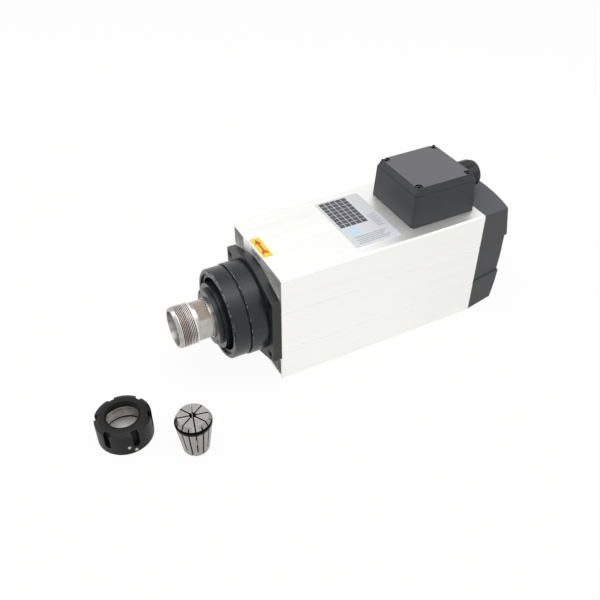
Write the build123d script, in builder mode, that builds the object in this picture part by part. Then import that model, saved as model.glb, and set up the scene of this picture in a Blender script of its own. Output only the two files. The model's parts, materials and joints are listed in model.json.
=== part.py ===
from build123d import *
import math
import os

os.makedirs("parts", exist_ok=True)

# Square air-cooled router spindle with its collet nut and collet standing beside the nose.
# Millimetres. Origin at the middle of the housing's base face, +Z up, nose towards -Y.

# ------------------------------------------------------------------ fits and clearances
FIT = 0.05                 # radial gap of parts pressed or registered together
THREAD_FIT = 0.1           # radial gap of a screw in its tapped hole
RUN_GAP = 0.4              # gap between a turning part and a still one
RACE_GAP = 0.1             # gap between a ball and its groove
SEAT_GAP = 0.2             # gap round coils, inserts and loose parts

# ------------------------------------------------------------------ housing extrusion
HOUSING_W = 103.0
HOUSING_H = 120.0
HOUSING_L = 222.0
HOUSING_CORNER_R = 2.0
STATOR_BORE_R = 45.0
TUBE_WALL = 4.0            # wall of the round tube inside the square section
HOUSING_WALL = 3.0
CORNER_CHANNEL_IN = 28.0   # corner air channels run from here out to the side wall
CORNER_CHANNEL_H = 19.5
CENTRE_CHANNEL_W = 19.0
CHANNEL_FILLET = 1.0
GROOVE_HEIGHTS = (37.0, 82.0)
GROOVE_W = 1.2
GROOVE_D = 0.6
WIRE_HOLE_R = 7.0
WIRE_HOLE_STEP = 1.0       # the box's and gasket's holes are this much wider
BASE_BOLT_DX = 37.5
BASE_BOLT_DY = 160.0
BASE_BOLT_R = 3.4          # tapping bore of an M8 hole
BASE_BOLT_DEPTH = 12.0

# ------------------------------------------------------------------ front end shield
FLANGE_T = 8.5
FLANGE_DISC_R = 50.0
EAR_X = 50.0
EAR_Z = 35.5
EAR_CORNER_R = 1.5
FLANGE_BOLT_DX = 87.0
FLANGE_BOLT_DZ = 60.0
SHIELD_COLLAR_R = 45.0
SHIELD_COLLAR_L = 17.5
SHIELD_NECK_R = 42.0
UNDERCUT_W = 0.9
UNDERCUT_R = 43.0
SLEEVE_R = 32.0
SLEEVE_PROUD = 3.5         # sleeve face in front of the nose collar
SPIGOT_L = 8.0
SPIGOT_WALL = 7.0
EDGE_CHAMFER = 0.6

# ------------------------------------------------------------------ nose collar and retaining ring
NOSE_COLLAR_R = 44.0
NOSE_COLLAR_L = 15.8
COLLAR_GAP = 1.2
COLLAR_RIM_W = 4.0
COLLAR_LIP_W = 4.0
COLLAR_LIP_STEP = 2.0
COLLAR_WEB_T = 4.0
COLLAR_CHAMFER = 1.2
RING_PROUD = 4.5
RING_T = 10.5
RING_PIN_R = 1.6
RING_PIN_PCD = 49.0
RING_PIN_DEPTH = 4.0
RING_PIN_ANGLE = 142.0
RING_LAND_L = 1.0          # raised land that bears on the outer bearing ring
RING_LAND_W = 3.3

# ------------------------------------------------------------------ spindle shaft
NOSE_OVERHANG = 86.0       # housing face to nose tip
NOSE_THREAD_R = 20.0
NOSE_THREAD_L = 15.5
NOSE_CHAMFER_L = 2.5
NOSE_RIM_R = 18.6
SHANK_R = 18.6
SHAFT_COLLAR_R = 19.5
SHAFT_COLLAR_PROUD = 1.5   # collar in front of the retaining ring
FLAT_HALF = 15.7           # axis to each spanner flat
FLAT_L = 11.5
FLAT_BACK = 1.0
FLAT_ANGLE = 70.5
TAPER_HALF_ANGLE = 8.0     # collet seat
SOCKET_MOUTH_R = 16.6
SOCKET_DEPTH = 36.0
SOCKET_RELIEF_R = 10.0
SOCKET_RELIEF_L = 12.0
ROTOR_SEAT_R = 14.5
FAN_SEAT_R = 10.0
SHAFT_TAIL = 29.0          # shaft end behind the housing's rear face

# ------------------------------------------------------------------ bearings
FRONT_BORE_R = 15.0
FRONT_OUT_R = 27.5
FRONT_W = 13.0
FRONT_SPACER = 10.0
FRONT_STOP_R = 26.9
FRONT_BALL_R = 3.5
FRONT_BALLS = 10
REAR_BORE_R = 12.5
REAR_OUT_R = 23.5
REAR_W = 12.0
REAR_BALL_R = 3.2
REAR_BALLS = 8
SHOULDER_GAP = 2.55        # ball centre circle to each ring's shoulder
CAGE_HALF = 1.7            # half the cage's wall
CAGE_W = 8.0
LOCK_NUT_L = 8.0
LOCK_NUT_R = 21.5
LOCK_NUT_NECK = 3.0        # narrow end that bears on the inner ring
LOCK_NUT_SLOTS = 4
LOCK_NUT_SLOT = 5.0
LOCK_NUT_SLOT_D = 2.5
SPRING_T = 1.8
CIRCLIP_T = 1.2
CIRCLIP_W = 2.8
CIRCLIP_GROOVE = 0.7
CIRCLIP_ARC = 310.0

# ------------------------------------------------------------------ motor
CORE_L = 110.0
CORE_FRONT_FROM_FACE = 36.0
ROTOR_R = 26.5
AIR_GAP = 0.5
STATOR_SLOTS = 24
SLOT_IN_R = 29.5
SLOT_OUT_R = 38.0
SLOT_W = 4.0
WINDING_IN_R = 29.5
WINDING_OUT_R = 40.5
WINDING_L = 21.0
WINDING_CORNER_R = 3.5
WINDING_BITE = 6.0         # coil sides run this far into the end turns
END_RING_IN_R = 18.0
END_RING_L = 6.0
END_RING_INSET = 0.5

# ------------------------------------------------------------------ rear bearing plate and fan
PLATE_T = 6.0
PLATE_DISC_R = 47.0
PLATE_EAR_X = 47.0
PLATE_EAR_Z = 33.0
PLATE_SPIGOT_L = 8.0
PLATE_BOSS_R = 28.0
PLATE_BOSS_L = 20.0        # boss from the rear face into the housing
PLATE_STOP_R = 20.5
PLATE_STOP_IN = 3.0        # bearing seat ends this far inside the rear face
FAN_BACK_GAP = 4.0         # plate to fan hub
FAN_HUB_R = 15.0
FAN_HUB_L = 14.0
FAN_ROOT_SINK = 2.0        # blade roots start inside the hub
FAN_TIP_R = 40.0
FAN_BLADES = 7
FAN_CHORD = 17.0
FAN_BLADE_T = 2.0
FAN_ROOT_PITCH = 42.0
FAN_TIP_PITCH = 60.0

# ------------------------------------------------------------------ rear cover
COVER_L = 41.8             # at the middle of the dome
DOME_R = 182.0
COVER_TOP_DROP = 5.7       # how far the rear face leans in towards the top edge
COVER_BELLY_Z = 88.0
COVER_HEEL_Z = 27.0
COVER_HEEL_DROP = 2.3
COVER_TOE_Z = 7.0
COVER_TOE_DROP = 5.5
COVER_SIDE_TAPER = 2.5     # inward over the cover's length, each side
COVER_WALL = 2.5
BAND_D = 1.5               # depth of the band round the cover's middle
BAND_RISE = 5.0
GRILLE_RADII = (12.0, 18.0, 24.0, 30.0, 36.0)
GRILLE_SLOT = 3.8
GRILLE_RIB = 4.0
GRILLE_RIB_ANGLES = (0, 60, 120)
GRILLE_CLEAR = 2.0         # fan clip to where the slots begin
COVER_BOSS_R = 5.5
COVER_BOSS_L = 25.0
COVER_SEAT_T = 12.0        # boss under each screw head

# ------------------------------------------------------------------ terminal box
BOX_W = 73.0
BOX_X = 1.0
BOX_SETBACK = 3.5          # box in front of the housing's rear end
BOX_H = 40.0
BOX_CORNER_R = 4.0
BOX_DRAFT = 3.8
BOX_WALL = 3.0
BOX_FLOOR = 3.0
BASE_GASKET_T = 1.0
LID_GASKET_T = 1.0
LID_T = 6.5
LID_TAPER = 25.0           # slope of the lid's bevelled sides, from the vertical
LID_PLATE = 2.5
LID_RIM = 1.0
LID_SCREW_INSET = 8.5      # box's foot to its lid screws
LID_SINK = 3.4
LID_BOSS_R = 4.2
BOX_SCREW_DX = 37.5         # into the housing's two upper webs
BOX_SCREW_DY = 44.0
BOX_SCREW_GRIP = 9.0
BLOCK_SCREW_GAP = 0.75     # block's ends to the box screws' heads
BLOCK_WALL_GAP = 1.4       # block to the box's wall
BLOCK_H = 13.0
BLOCK_RIB_H = 4.0
BLOCK_RIB_T = 1.6
BLOCK_POLES = 3
BLOCK_GAP = 3.0            # wire hole to the block
BLOCK_TAP_SPARE = 1.0

# ------------------------------------------------------------------ cable gland
GLAND_RISE = 17.0          # gland above the housing
GLAND_THREAD_R = 11.2
GLAND_BORE_R = 8.0
GLAND_HEX_R = 14.0         # across flats, halved
GLAND_HEX_T = 5.0
GLAND_PAD_R = 14.3
GLAND_PAD_PROUD = 0.5
GLAND_THREAD_OUT = 9.0
GLAND_THREAD_TAIL = 1.0    # thread showing past the locknut
GLAND_NUT_L = 19.0
GLAND_NUT_R = 14.5
GLAND_RIBS = 12
GLAND_RIB_D = 1.2
GLAND_RIB_L = 12.0
GLAND_DOME_R = 4.0
GLAND_MOUTH_T = 4.0
GLAND_LOCKNUT_T = 4.5
GLAND_LOCKNUT_R = 12.9
CABLE_R = 6.0
CABLE_GAP = 1.0            # gland nut's mouth round the cable

# ------------------------------------------------------------------ collet nut and collet
NUT_X = 47.1
NUT_Y = -265.5
NUT_R = 25.0
NUT_H = 24.5
NUT_MINOR_R = 19.2
NUT_THREAD_L = 14.2
NUT_RELIEF_R = 20.2        # thread relief between the thread and the ring's seat
NUT_RELIEF_L = 1.4
NUT_SEAT_R = 18.9
NUT_LIP_R = 16.0
NUT_LIP_T = 2.2
NUT_SLOTS = 6
NUT_SLOT_W = 6.0
NUT_SLOT_ROOT_R = 21.6
NUT_SLOT_FLOOR = 7.5       # lowest point of each slot's round end
NUT_SLOT_ANGLE = 8.2
NUT_FACE_R = 21.5          # flat front face inside the bevel
NUT_BEVEL_L = 1.8
NUT_EDGE = 0.6
NUT_DRILLINGS = ((-8.0, 8.6), (5.0, 3.8))     # balance drillings: angle round the nut, height
NUT_DRILL_R = 1.6
NUT_DRILL_D = 1.2
PRESS_RING_MOUTH_R = 14.0
PRESS_RING_CONE_R = 17.8
COLLET_X = 88.9
COLLET_Y = -214.6
COLLET_H = 40.0
COLLET_R = 16.5
COLLET_SHOULDER_Z = 33.2
COLLET_GROOVE_W = 1.8
COLLET_GROOVE_R = 14.9
COLLET_NOSE_R = 13.4
COLLET_CONE_R = 16.1
COLLET_BORE_R = 3.0
COLLET_RELIEF_R = 5.0
COLLET_RELIEF_L = 13.0
COLLET_SLOTS = 8
COLLET_SLOT_W = 0.7
COLLET_TOP_WEB = 1.8       # metal left above the rear slots
COLLET_TAIL_WEB = 6.0      # metal left below the front slots
COLLET_SLOT_ANGLE = 32.0

# ------------------------------------------------------------------ screws
M4_R = 2.0
M4_HEAD_R = 3.5
M4_HEAD_H = 2.6
M5_R = 2.5
M5_HEAD_R = 4.25
M5_HEAD_H = 5.0
M5_HEX_R = 2.5             # hexagon socket, centre to corner
M5_HEX_D = 2.5
SINK_GAP = 0.3             # counterbore round and above a screw head
SCREW_GRIP = 8.0           # thread engaged
TAP_SPARE = 4.0            # tapped hole beyond the screw's end

SAME = 0.01                # radii and lengths this close count as the same

# ------------------------------------------------------------------ stations and derived places
AXIS_Z = HOUSING_H / 2
FRONT_Y = -HOUSING_L / 2
REAR_Y = HOUSING_L / 2
TUBE_R = STATOR_BORE_R + TUBE_WALL
FLANGE_FACE_Y = FRONT_Y - FLANGE_T
COLLAR_FACE_Y = FLANGE_FACE_Y - SHIELD_COLLAR_L
NOSE_COLLAR_BACK_Y = COLLAR_FACE_Y - COLLAR_GAP
NOSE_COLLAR_FACE_Y = NOSE_COLLAR_BACK_Y - NOSE_COLLAR_L
SLEEVE_FACE_Y = NOSE_COLLAR_FACE_Y - SLEEVE_PROUD
RING_FACE_Y = SLEEVE_FACE_Y - RING_PROUD
BEARING_Y = RING_FACE_Y + RING_T
SECOND_BEARING_Y = BEARING_Y + FRONT_W + FRONT_SPACER
BEARING_END_Y = SECOND_BEARING_Y + FRONT_W
LOCK_NUT_END_Y = BEARING_END_Y + LOCK_NUT_L
NOSE_Y = FRONT_Y - NOSE_OVERHANG
THREAD_END_Y = NOSE_Y + NOSE_CHAMFER_L + NOSE_THREAD_L
SHAFT_COLLAR_Y = RING_FACE_Y - SHAFT_COLLAR_PROUD
CORE_FRONT_Y = FRONT_Y + CORE_FRONT_FROM_FACE
CORE_REAR_Y = CORE_FRONT_Y + CORE_L
PLATE_BACK_Y = REAR_Y + PLATE_T
REAR_STOP_Y = REAR_Y - PLATE_STOP_IN
REAR_BEARING_Y = REAR_STOP_Y - SPRING_T - SEAT_GAP - REAR_W
FAN_Y = PLATE_BACK_Y + FAN_BACK_GAP
FAN_END_Y = FAN_Y + FAN_HUB_L
SHAFT_END_Y = REAR_Y + SHAFT_TAIL
FRONT_PITCH_R = (FRONT_BORE_R + FRONT_OUT_R) / 2
REAR_PITCH_R = (REAR_BORE_R + REAR_OUT_R) / 2
COVER_END_Y = REAR_Y + COVER_L
BOX_Y = REAR_Y - BOX_SETBACK - BOX_W / 2
LID_SCREW_D = BOX_W / 2 - LID_SCREW_INSET
GLAND_Z = HOUSING_H + GLAND_RISE
SPIN_AXIS = Axis((0, 0, AXIS_Z), (0, 1, 0))
TURNED = Plane.XY.offset(AXIS_Z)     # turned sections: local x is the radius, local y is the station


def across(y):
    """Plane square to the spindle at station y: local x is X, local y is Z."""
    return Plane.XZ.offset(-y)


def station(y, turn=0.0):
    """The same plane with its origin on the spindle axis, turned from +X towards +Z by turn degrees."""
    heading = math.radians(turn)
    return Plane(origin=(0, y, AXIS_Z), x_dir=(math.cos(heading), 0, math.sin(heading)), z_dir=(0, -1, 0))


def band(r_in, r_out, y_from, y_to, mode=Mode.ADD):
    """One step of a turned section, between two radii and two stations."""
    with Locations(((r_in + r_out) / 2, (y_from + y_to) / 2)):
        Rectangle(r_out - r_in, y_to - y_from, mode=mode)


def turned(*steps):
    """A turned part made of (inner radius, outer radius, from station, to station) steps."""
    with BuildPart() as part:
        with BuildSketch(TURNED):
            for step in steps:
                band(*step)
        revolve(axis=SPIN_AXIS)
    return part.part


def race_ring(r_in, r_out, y_from, width, pitch_r, ball_r):
    """A bearing ring with its ball groove."""
    with BuildPart() as ring:
        with BuildSketch(TURNED):
            band(r_in, r_out, y_from, y_from + width)
            with Locations((pitch_r, y_from + width / 2)):
                Circle(ball_r + RACE_GAP, mode=Mode.SUBTRACT)
        revolve(axis=SPIN_AXIS)
    return ring.part


def caged_balls(y_from, width, pitch_r, ball_r, balls):
    """A bearing's cage with its balls."""
    middle = y_from + width / 2
    with BuildPart() as row:
        add(turned((pitch_r - CAGE_HALF, pitch_r + CAGE_HALF, middle - CAGE_W / 2, middle + CAGE_W / 2)))
        with Locations(station(middle)):
            with PolarLocations(pitch_r, balls):
                Sphere(ball_r)
    return row.part


def circlip(groove_r, y_from):
    """An open snap ring standing in a shaft groove."""
    with BuildPart() as clip:
        with BuildSketch(TURNED):
            band(groove_r + FIT, groove_r + CIRCLIP_W, y_from + FIT, y_from + CIRCLIP_T - FIT)
        revolve(axis=SPIN_AXIS, revolution_arc=CIRCLIP_ARC)
    return clip.part


def plate_outline(disc_r, ear_x, ear_z):
    """A disc with four pointed ears, as the hull of the disc and the ears' corners."""
    with BuildSketch() as outline:
        Circle(disc_r)
        with GridLocations(2 * (ear_x - EAR_CORNER_R), 2 * (ear_z - EAR_CORNER_R), 2, 2):
            Circle(EAR_CORNER_R)
        make_hull()
    return outline.sketch


def write(part, name):
    """Labels a finished piece and writes it as its own file."""
    part.label = name
    export_step(part, f"parts/{name}.step")


# ------------------------------------------------------------------ housing
with BuildSketch() as air_channels:
    corner_w = HOUSING_W / 2 - HOUSING_WALL - CORNER_CHANNEL_IN
    corner_x = CORNER_CHANNEL_IN + corner_w / 2
    corner_z = HOUSING_H / 2 - HOUSING_WALL - CORNER_CHANNEL_H / 2
    centre_h = HOUSING_H / 2 - HOUSING_WALL
    with GridLocations(2 * corner_x, 2 * corner_z, 2, 2):
        Rectangle(corner_w, CORNER_CHANNEL_H)
    Rectangle(CENTRE_CHANNEL_W, 2 * centre_h)
    Circle(TUBE_R, mode=Mode.SUBTRACT)
    fillet(air_channels.vertices(), CHANNEL_FILLET)

with BuildPart() as housing_profile:
    with BuildSketch(station(FRONT_Y)):
        RectangleRounded(HOUSING_W, HOUSING_H, HOUSING_CORNER_R)
        Circle(STATOR_BORE_R, mode=Mode.SUBTRACT)
        add(air_channels.sketch, mode=Mode.SUBTRACT)
        for groove_z in GROOVE_HEIGHTS:
            with Locations((0, groove_z - AXIS_Z)):
                with GridLocations(HOUSING_W, 1, 2, 1):
                    Rectangle(2 * GROOVE_D, GROOVE_W, mode=Mode.SUBTRACT)
    extrude(amount=-HOUSING_L)
    with BuildSketch(Plane.XY):
        with GridLocations(BASE_BOLT_DX, BASE_BOLT_DY, 2, 2):
            Circle(BASE_BOLT_R)
    extrude(amount=BASE_BOLT_DEPTH, mode=Mode.SUBTRACT)
    with BuildSketch(Plane.XY.offset(AXIS_Z)):
        with Locations((BOX_X, BOX_Y)):
            Circle(WIRE_HOLE_R)
    extrude(amount=HOUSING_H, mode=Mode.SUBTRACT)
    with BuildSketch(Plane.XY.offset(HOUSING_H)):
        with Locations((BOX_X, BOX_Y)):
            with GridLocations(BOX_SCREW_DX, BOX_SCREW_DY, 2, 2):
                Circle(M4_R + THREAD_FIT)
    extrude(amount=-BOX_SCREW_GRIP - TAP_SPARE, mode=Mode.SUBTRACT)
    for end_y, inward in ((FRONT_Y, -1), (REAR_Y, 1)):
        with BuildSketch(station(end_y)):
            with GridLocations(FLANGE_BOLT_DX, FLANGE_BOLT_DZ, 2, 2):
                Circle(M5_R + THREAD_FIT)
        extrude(amount=inward * (SCREW_GRIP + TAP_SPARE), mode=Mode.SUBTRACT)
write(housing_profile.part, "housing_profile")

# ------------------------------------------------------------------ front end shield
with BuildPart() as front_end_shield:
    with BuildSketch(station(FLANGE_FACE_Y)):
        add(plate_outline(FLANGE_DISC_R, EAR_X, EAR_Z))
    extrude(amount=-FLANGE_T)
    add(
        turned(
            (FRONT_OUT_R, SLEEVE_R, SLEEVE_FACE_Y, COLLAR_FACE_Y),
            (FRONT_OUT_R, SHIELD_NECK_R, NOSE_COLLAR_BACK_Y, COLLAR_FACE_Y),
            (FRONT_OUT_R, SHIELD_COLLAR_R, COLLAR_FACE_Y, FLANGE_FACE_Y - UNDERCUT_W),
            (FRONT_OUT_R, UNDERCUT_R, FLANGE_FACE_Y - UNDERCUT_W, FLANGE_FACE_Y),
            (FRONT_OUT_R, STATOR_BORE_R - FIT, FRONT_Y, FRONT_Y + SPIGOT_L),
        )
    )
    with BuildSketch(station(SLEEVE_FACE_Y)):
        Circle(FRONT_OUT_R)
    extrude(amount=SLEEVE_FACE_Y - BEARING_END_Y, mode=Mode.SUBTRACT)
    with BuildSketch(station(BEARING_END_Y)):
        Circle(FRONT_STOP_R)
    extrude(amount=BEARING_END_Y - FRONT_Y - SPIGOT_L, mode=Mode.SUBTRACT)
    with BuildSketch(station(FRONT_Y + SPIGOT_L)):
        Circle(STATOR_BORE_R - SPIGOT_WALL)
    extrude(amount=SPIGOT_L, mode=Mode.SUBTRACT)
    with BuildSketch(station(FLANGE_FACE_Y)):
        with GridLocations(FLANGE_BOLT_DX, FLANGE_BOLT_DZ, 2, 2):
            Circle(M5_HEAD_R + SINK_GAP)
    extrude(amount=-M5_HEAD_H - SINK_GAP, mode=Mode.SUBTRACT)
    with BuildSketch(station(FLANGE_FACE_Y)):
        with GridLocations(FLANGE_BOLT_DX, FLANGE_BOLT_DZ, 2, 2):
            Circle(M5_R + SINK_GAP)
    extrude(amount=-FLANGE_T, mode=Mode.SUBTRACT)
    rims = front_end_shield.edges().filter_by(GeomType.CIRCLE).filter_by(
        lambda e: abs(e.radius - SHIELD_COLLAR_R) < SAME and abs(e.length - 2 * math.pi * e.radius) < SAME
    )
    chamfer(rims, EDGE_CHAMFER)
write(front_end_shield.part, "front_end_shield")

with BuildPart() as flange_screws:
    with BuildSketch(station(FLANGE_FACE_Y + SINK_GAP)):
        with GridLocations(FLANGE_BOLT_DX, FLANGE_BOLT_DZ, 2, 2):
            Circle(M5_HEAD_R)
            RegularPolygon(M5_HEX_R, 6, mode=Mode.SUBTRACT)
    extrude(amount=-M5_HEAD_H)
    with BuildSketch(station(FLANGE_FACE_Y + SINK_GAP + M5_HEX_D)):
        with GridLocations(FLANGE_BOLT_DX, FLANGE_BOLT_DZ, 2, 2):
            Circle(M5_R)
    extrude(amount=-FLANGE_T + SINK_GAP + M5_HEX_D - SCREW_GRIP)
write(flange_screws.part, "flange_screws")

# ------------------------------------------------------------------ nose collar and retaining ring
with BuildPart() as nose_collar:
    with BuildSketch(TURNED):
        band(SLEEVE_R + FIT, NOSE_COLLAR_R, NOSE_COLLAR_BACK_Y - COLLAR_WEB_T, NOSE_COLLAR_BACK_Y)
        band(NOSE_COLLAR_R - COLLAR_RIM_W, NOSE_COLLAR_R, NOSE_COLLAR_FACE_Y, NOSE_COLLAR_BACK_Y)
        band(
            NOSE_COLLAR_R - COLLAR_RIM_W - COLLAR_LIP_W,
            NOSE_COLLAR_R,
            NOSE_COLLAR_FACE_Y + COLLAR_LIP_STEP,
            NOSE_COLLAR_BACK_Y,
        )
    revolve(axis=SPIN_AXIS)
    circles = nose_collar.edges().filter_by(GeomType.CIRCLE)
    rims = circles.filter_by(lambda e: e.radius > NOSE_COLLAR_R - SAME)
    front_rim = rims.sort_by(Axis.Y)[0]
    back_rim = rims.sort_by(Axis.Y)[-1]
    chamfer(front_rim, COLLAR_CHAMFER)
    chamfer(back_rim, EDGE_CHAMFER)
write(nose_collar.part, "nose_collar")

with BuildPart() as retaining_ring:
    add(
        turned(
            (SHAFT_COLLAR_R + RUN_GAP, FRONT_OUT_R - FIT, RING_FACE_Y, BEARING_Y - RING_LAND_L),
            (FRONT_OUT_R - RING_LAND_W, FRONT_OUT_R - FIT, BEARING_Y - RING_LAND_L, BEARING_Y),
        )
    )
    with BuildSketch(station(RING_FACE_Y)):
        with PolarLocations(RING_PIN_PCD / 2, 2, start_angle=RING_PIN_ANGLE):
            Circle(RING_PIN_R)
    extrude(amount=-RING_PIN_DEPTH, mode=Mode.SUBTRACT)
    face_edges = retaining_ring.edges().filter_by(GeomType.CIRCLE).group_by(Axis.Y)[0]
    chamfer(face_edges.sort_by(SortBy.RADIUS)[-1], EDGE_CHAMFER)
write(retaining_ring.part, "retaining_ring")

# ------------------------------------------------------------------ front bearings
with BuildPart() as front_bearing_outer_rings:
    for y in (BEARING_Y, SECOND_BEARING_Y):
        add(
            race_ring(
                FRONT_PITCH_R + SHOULDER_GAP, FRONT_OUT_R - FIT, y, FRONT_W, FRONT_PITCH_R, FRONT_BALL_R
            )
        )
write(front_bearing_outer_rings.part, "front_bearing_outer_rings")

with BuildPart() as front_bearing_inner_rings:
    for y in (BEARING_Y, SECOND_BEARING_Y):
        add(
            race_ring(
                FRONT_BORE_R + FIT, FRONT_PITCH_R - SHOULDER_GAP, y, FRONT_W, FRONT_PITCH_R, FRONT_BALL_R
            )
        )
write(front_bearing_inner_rings.part, "front_bearing_inner_rings")

with BuildPart() as front_caged_balls:
    for y in (BEARING_Y, SECOND_BEARING_Y):
        add(caged_balls(y, FRONT_W, FRONT_PITCH_R, FRONT_BALL_R, FRONT_BALLS))
write(front_caged_balls.part, "front_caged_balls")

write(
    turned((FRONT_PITCH_R + SHOULDER_GAP, FRONT_OUT_R - FIT, BEARING_Y + FRONT_W, SECOND_BEARING_Y)),
    "outer_spacer",
)
write(
    turned((FRONT_BORE_R + FIT, FRONT_PITCH_R - SHOULDER_GAP, BEARING_Y + FRONT_W, SECOND_BEARING_Y)),
    "inner_spacer",
)

with BuildPart() as bearing_lock_nut:
    add(turned((FRONT_BORE_R + FIT, LOCK_NUT_R, BEARING_END_Y + LOCK_NUT_NECK, LOCK_NUT_END_Y)))
    add(turned((FRONT_BORE_R + FIT, FRONT_PITCH_R - SHOULDER_GAP, BEARING_END_Y, LOCK_NUT_END_Y)))
    with BuildSketch(station(LOCK_NUT_END_Y)):
        with PolarLocations(LOCK_NUT_R, LOCK_NUT_SLOTS):
            Rectangle(2 * LOCK_NUT_SLOT_D, LOCK_NUT_SLOT)
    extrude(amount=LOCK_NUT_L - LOCK_NUT_NECK, mode=Mode.SUBTRACT)
write(bearing_lock_nut.part, "bearing_lock_nut")

# ------------------------------------------------------------------ spindle shaft
socket_floor_r = SOCKET_MOUTH_R - SOCKET_DEPTH * math.tan(math.radians(TAPER_HALF_ANGLE))
with BuildPart() as spindle_shaft:
    with BuildSketch(TURNED):
        with BuildLine():
            Polyline(
                (0, SHAFT_END_Y),
                (0, NOSE_Y + SOCKET_DEPTH + SOCKET_RELIEF_L),
                (SOCKET_RELIEF_R, NOSE_Y + SOCKET_DEPTH + SOCKET_RELIEF_L),
                (SOCKET_RELIEF_R, NOSE_Y + SOCKET_DEPTH),
                (socket_floor_r, NOSE_Y + SOCKET_DEPTH),
                (SOCKET_MOUTH_R, NOSE_Y),
                (NOSE_RIM_R, NOSE_Y),
                (NOSE_THREAD_R, NOSE_Y + NOSE_CHAMFER_L),
                (NOSE_THREAD_R, THREAD_END_Y),
                (SHANK_R, THREAD_END_Y),
                (SHANK_R, SHAFT_COLLAR_Y),
                (SHAFT_COLLAR_R, SHAFT_COLLAR_Y),
                (SHAFT_COLLAR_R, BEARING_Y),
                (FRONT_BORE_R, BEARING_Y),
                (FRONT_BORE_R, LOCK_NUT_END_Y),
                (ROTOR_SEAT_R, LOCK_NUT_END_Y),
                (ROTOR_SEAT_R, REAR_BEARING_Y),
                (REAR_BORE_R, REAR_BEARING_Y),
                (REAR_BORE_R, FAN_Y),
                (FAN_SEAT_R, FAN_Y),
                (FAN_SEAT_R, SHAFT_END_Y),
                close=True,
            )
        make_face()
        for seat_r, clip_y in ((REAR_BORE_R, REAR_BEARING_Y + REAR_W), (FAN_SEAT_R, FAN_END_Y)):
            band(seat_r - CIRCLIP_GROOVE, seat_r + CIRCLIP_GROOVE, clip_y, clip_y + CIRCLIP_T, Mode.SUBTRACT)
    revolve(axis=SPIN_AXIS)
    with BuildSketch(station(SHAFT_COLLAR_Y - FLAT_BACK, FLAT_ANGLE)):
        with GridLocations(2 * (FLAT_HALF + SHANK_R / 2), 1, 2, 1):
            Rectangle(SHANK_R, 2 * SHANK_R)
    extrude(amount=FLAT_L, mode=Mode.SUBTRACT)
write(spindle_shaft.part, "spindle_shaft")

# ------------------------------------------------------------------ motor windings and cores
with BuildPart() as stator_core:
    with BuildSketch(station(CORE_FRONT_Y)):
        Circle(STATOR_BORE_R - FIT)
        Circle(ROTOR_R + AIR_GAP, mode=Mode.SUBTRACT)
        with PolarLocations((SLOT_IN_R + SLOT_OUT_R) / 2, STATOR_SLOTS):
            Rectangle(SLOT_OUT_R - SLOT_IN_R, SLOT_W, mode=Mode.SUBTRACT)
    extrude(amount=-CORE_L)
write(stator_core.part, "stator_core")

with BuildPart() as stator_winding:
    with BuildSketch(TURNED):
        for middle_y in (CORE_FRONT_Y - WINDING_L / 2, CORE_REAR_Y + WINDING_L / 2):
            with Locations(((WINDING_IN_R + WINDING_OUT_R) / 2, middle_y)):
                RectangleRounded(WINDING_OUT_R - WINDING_IN_R, WINDING_L, WINDING_CORNER_R)
    revolve(axis=SPIN_AXIS)
    with BuildSketch(station(CORE_FRONT_Y - WINDING_BITE)):
        with PolarLocations((SLOT_IN_R + SLOT_OUT_R) / 2, STATOR_SLOTS):
            Rectangle(SLOT_OUT_R - SLOT_IN_R - 2 * SEAT_GAP, SLOT_W - 2 * SEAT_GAP)
    extrude(amount=-CORE_L - 2 * WINDING_BITE)
write(stator_winding.part, "stator_winding")

write(turned((ROTOR_SEAT_R + FIT, ROTOR_R, CORE_FRONT_Y, CORE_REAR_Y)), "rotor_core")

with BuildPart() as rotor_end_rings:
    add(turned((END_RING_IN_R, ROTOR_R - END_RING_INSET, CORE_FRONT_Y - END_RING_L, CORE_FRONT_Y)))
    add(turned((END_RING_IN_R, ROTOR_R - END_RING_INSET, CORE_REAR_Y, CORE_REAR_Y + END_RING_L)))
write(rotor_end_rings.part, "rotor_end_rings")

# ------------------------------------------------------------------ rear bearing and its plate
with BuildPart() as rear_bearing_plate:
    with BuildSketch(station(REAR_Y)):
        add(plate_outline(PLATE_DISC_R, PLATE_EAR_X, PLATE_EAR_Z))
    extrude(amount=-PLATE_T)
    add(
        turned(
            (REAR_OUT_R, STATOR_BORE_R - FIT, REAR_Y - PLATE_SPIGOT_L, REAR_Y),
            (REAR_OUT_R, PLATE_BOSS_R, REAR_Y - PLATE_BOSS_L, REAR_Y),
        )
    )
    with BuildSketch(station(REAR_Y - PLATE_SPIGOT_L)):
        Circle(STATOR_BORE_R - SPIGOT_WALL)
        Circle(PLATE_BOSS_R, mode=Mode.SUBTRACT)
    extrude(amount=-PLATE_SPIGOT_L, mode=Mode.SUBTRACT)
    with BuildSketch(station(REAR_Y - PLATE_BOSS_L)):
        Circle(REAR_OUT_R)
    extrude(amount=-PLATE_BOSS_L + PLATE_STOP_IN, mode=Mode.SUBTRACT)
    with BuildSketch(station(REAR_STOP_Y)):
        Circle(PLATE_STOP_R)
    extrude(amount=-PLATE_STOP_IN - PLATE_T, mode=Mode.SUBTRACT)
    with BuildSketch(station(REAR_Y)):
        with GridLocations(FLANGE_BOLT_DX, FLANGE_BOLT_DZ, 2, 2):
            Circle(M5_R + SINK_GAP)
    extrude(amount=-PLATE_T, mode=Mode.SUBTRACT)
write(rear_bearing_plate.part, "rear_bearing_plate")

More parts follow.
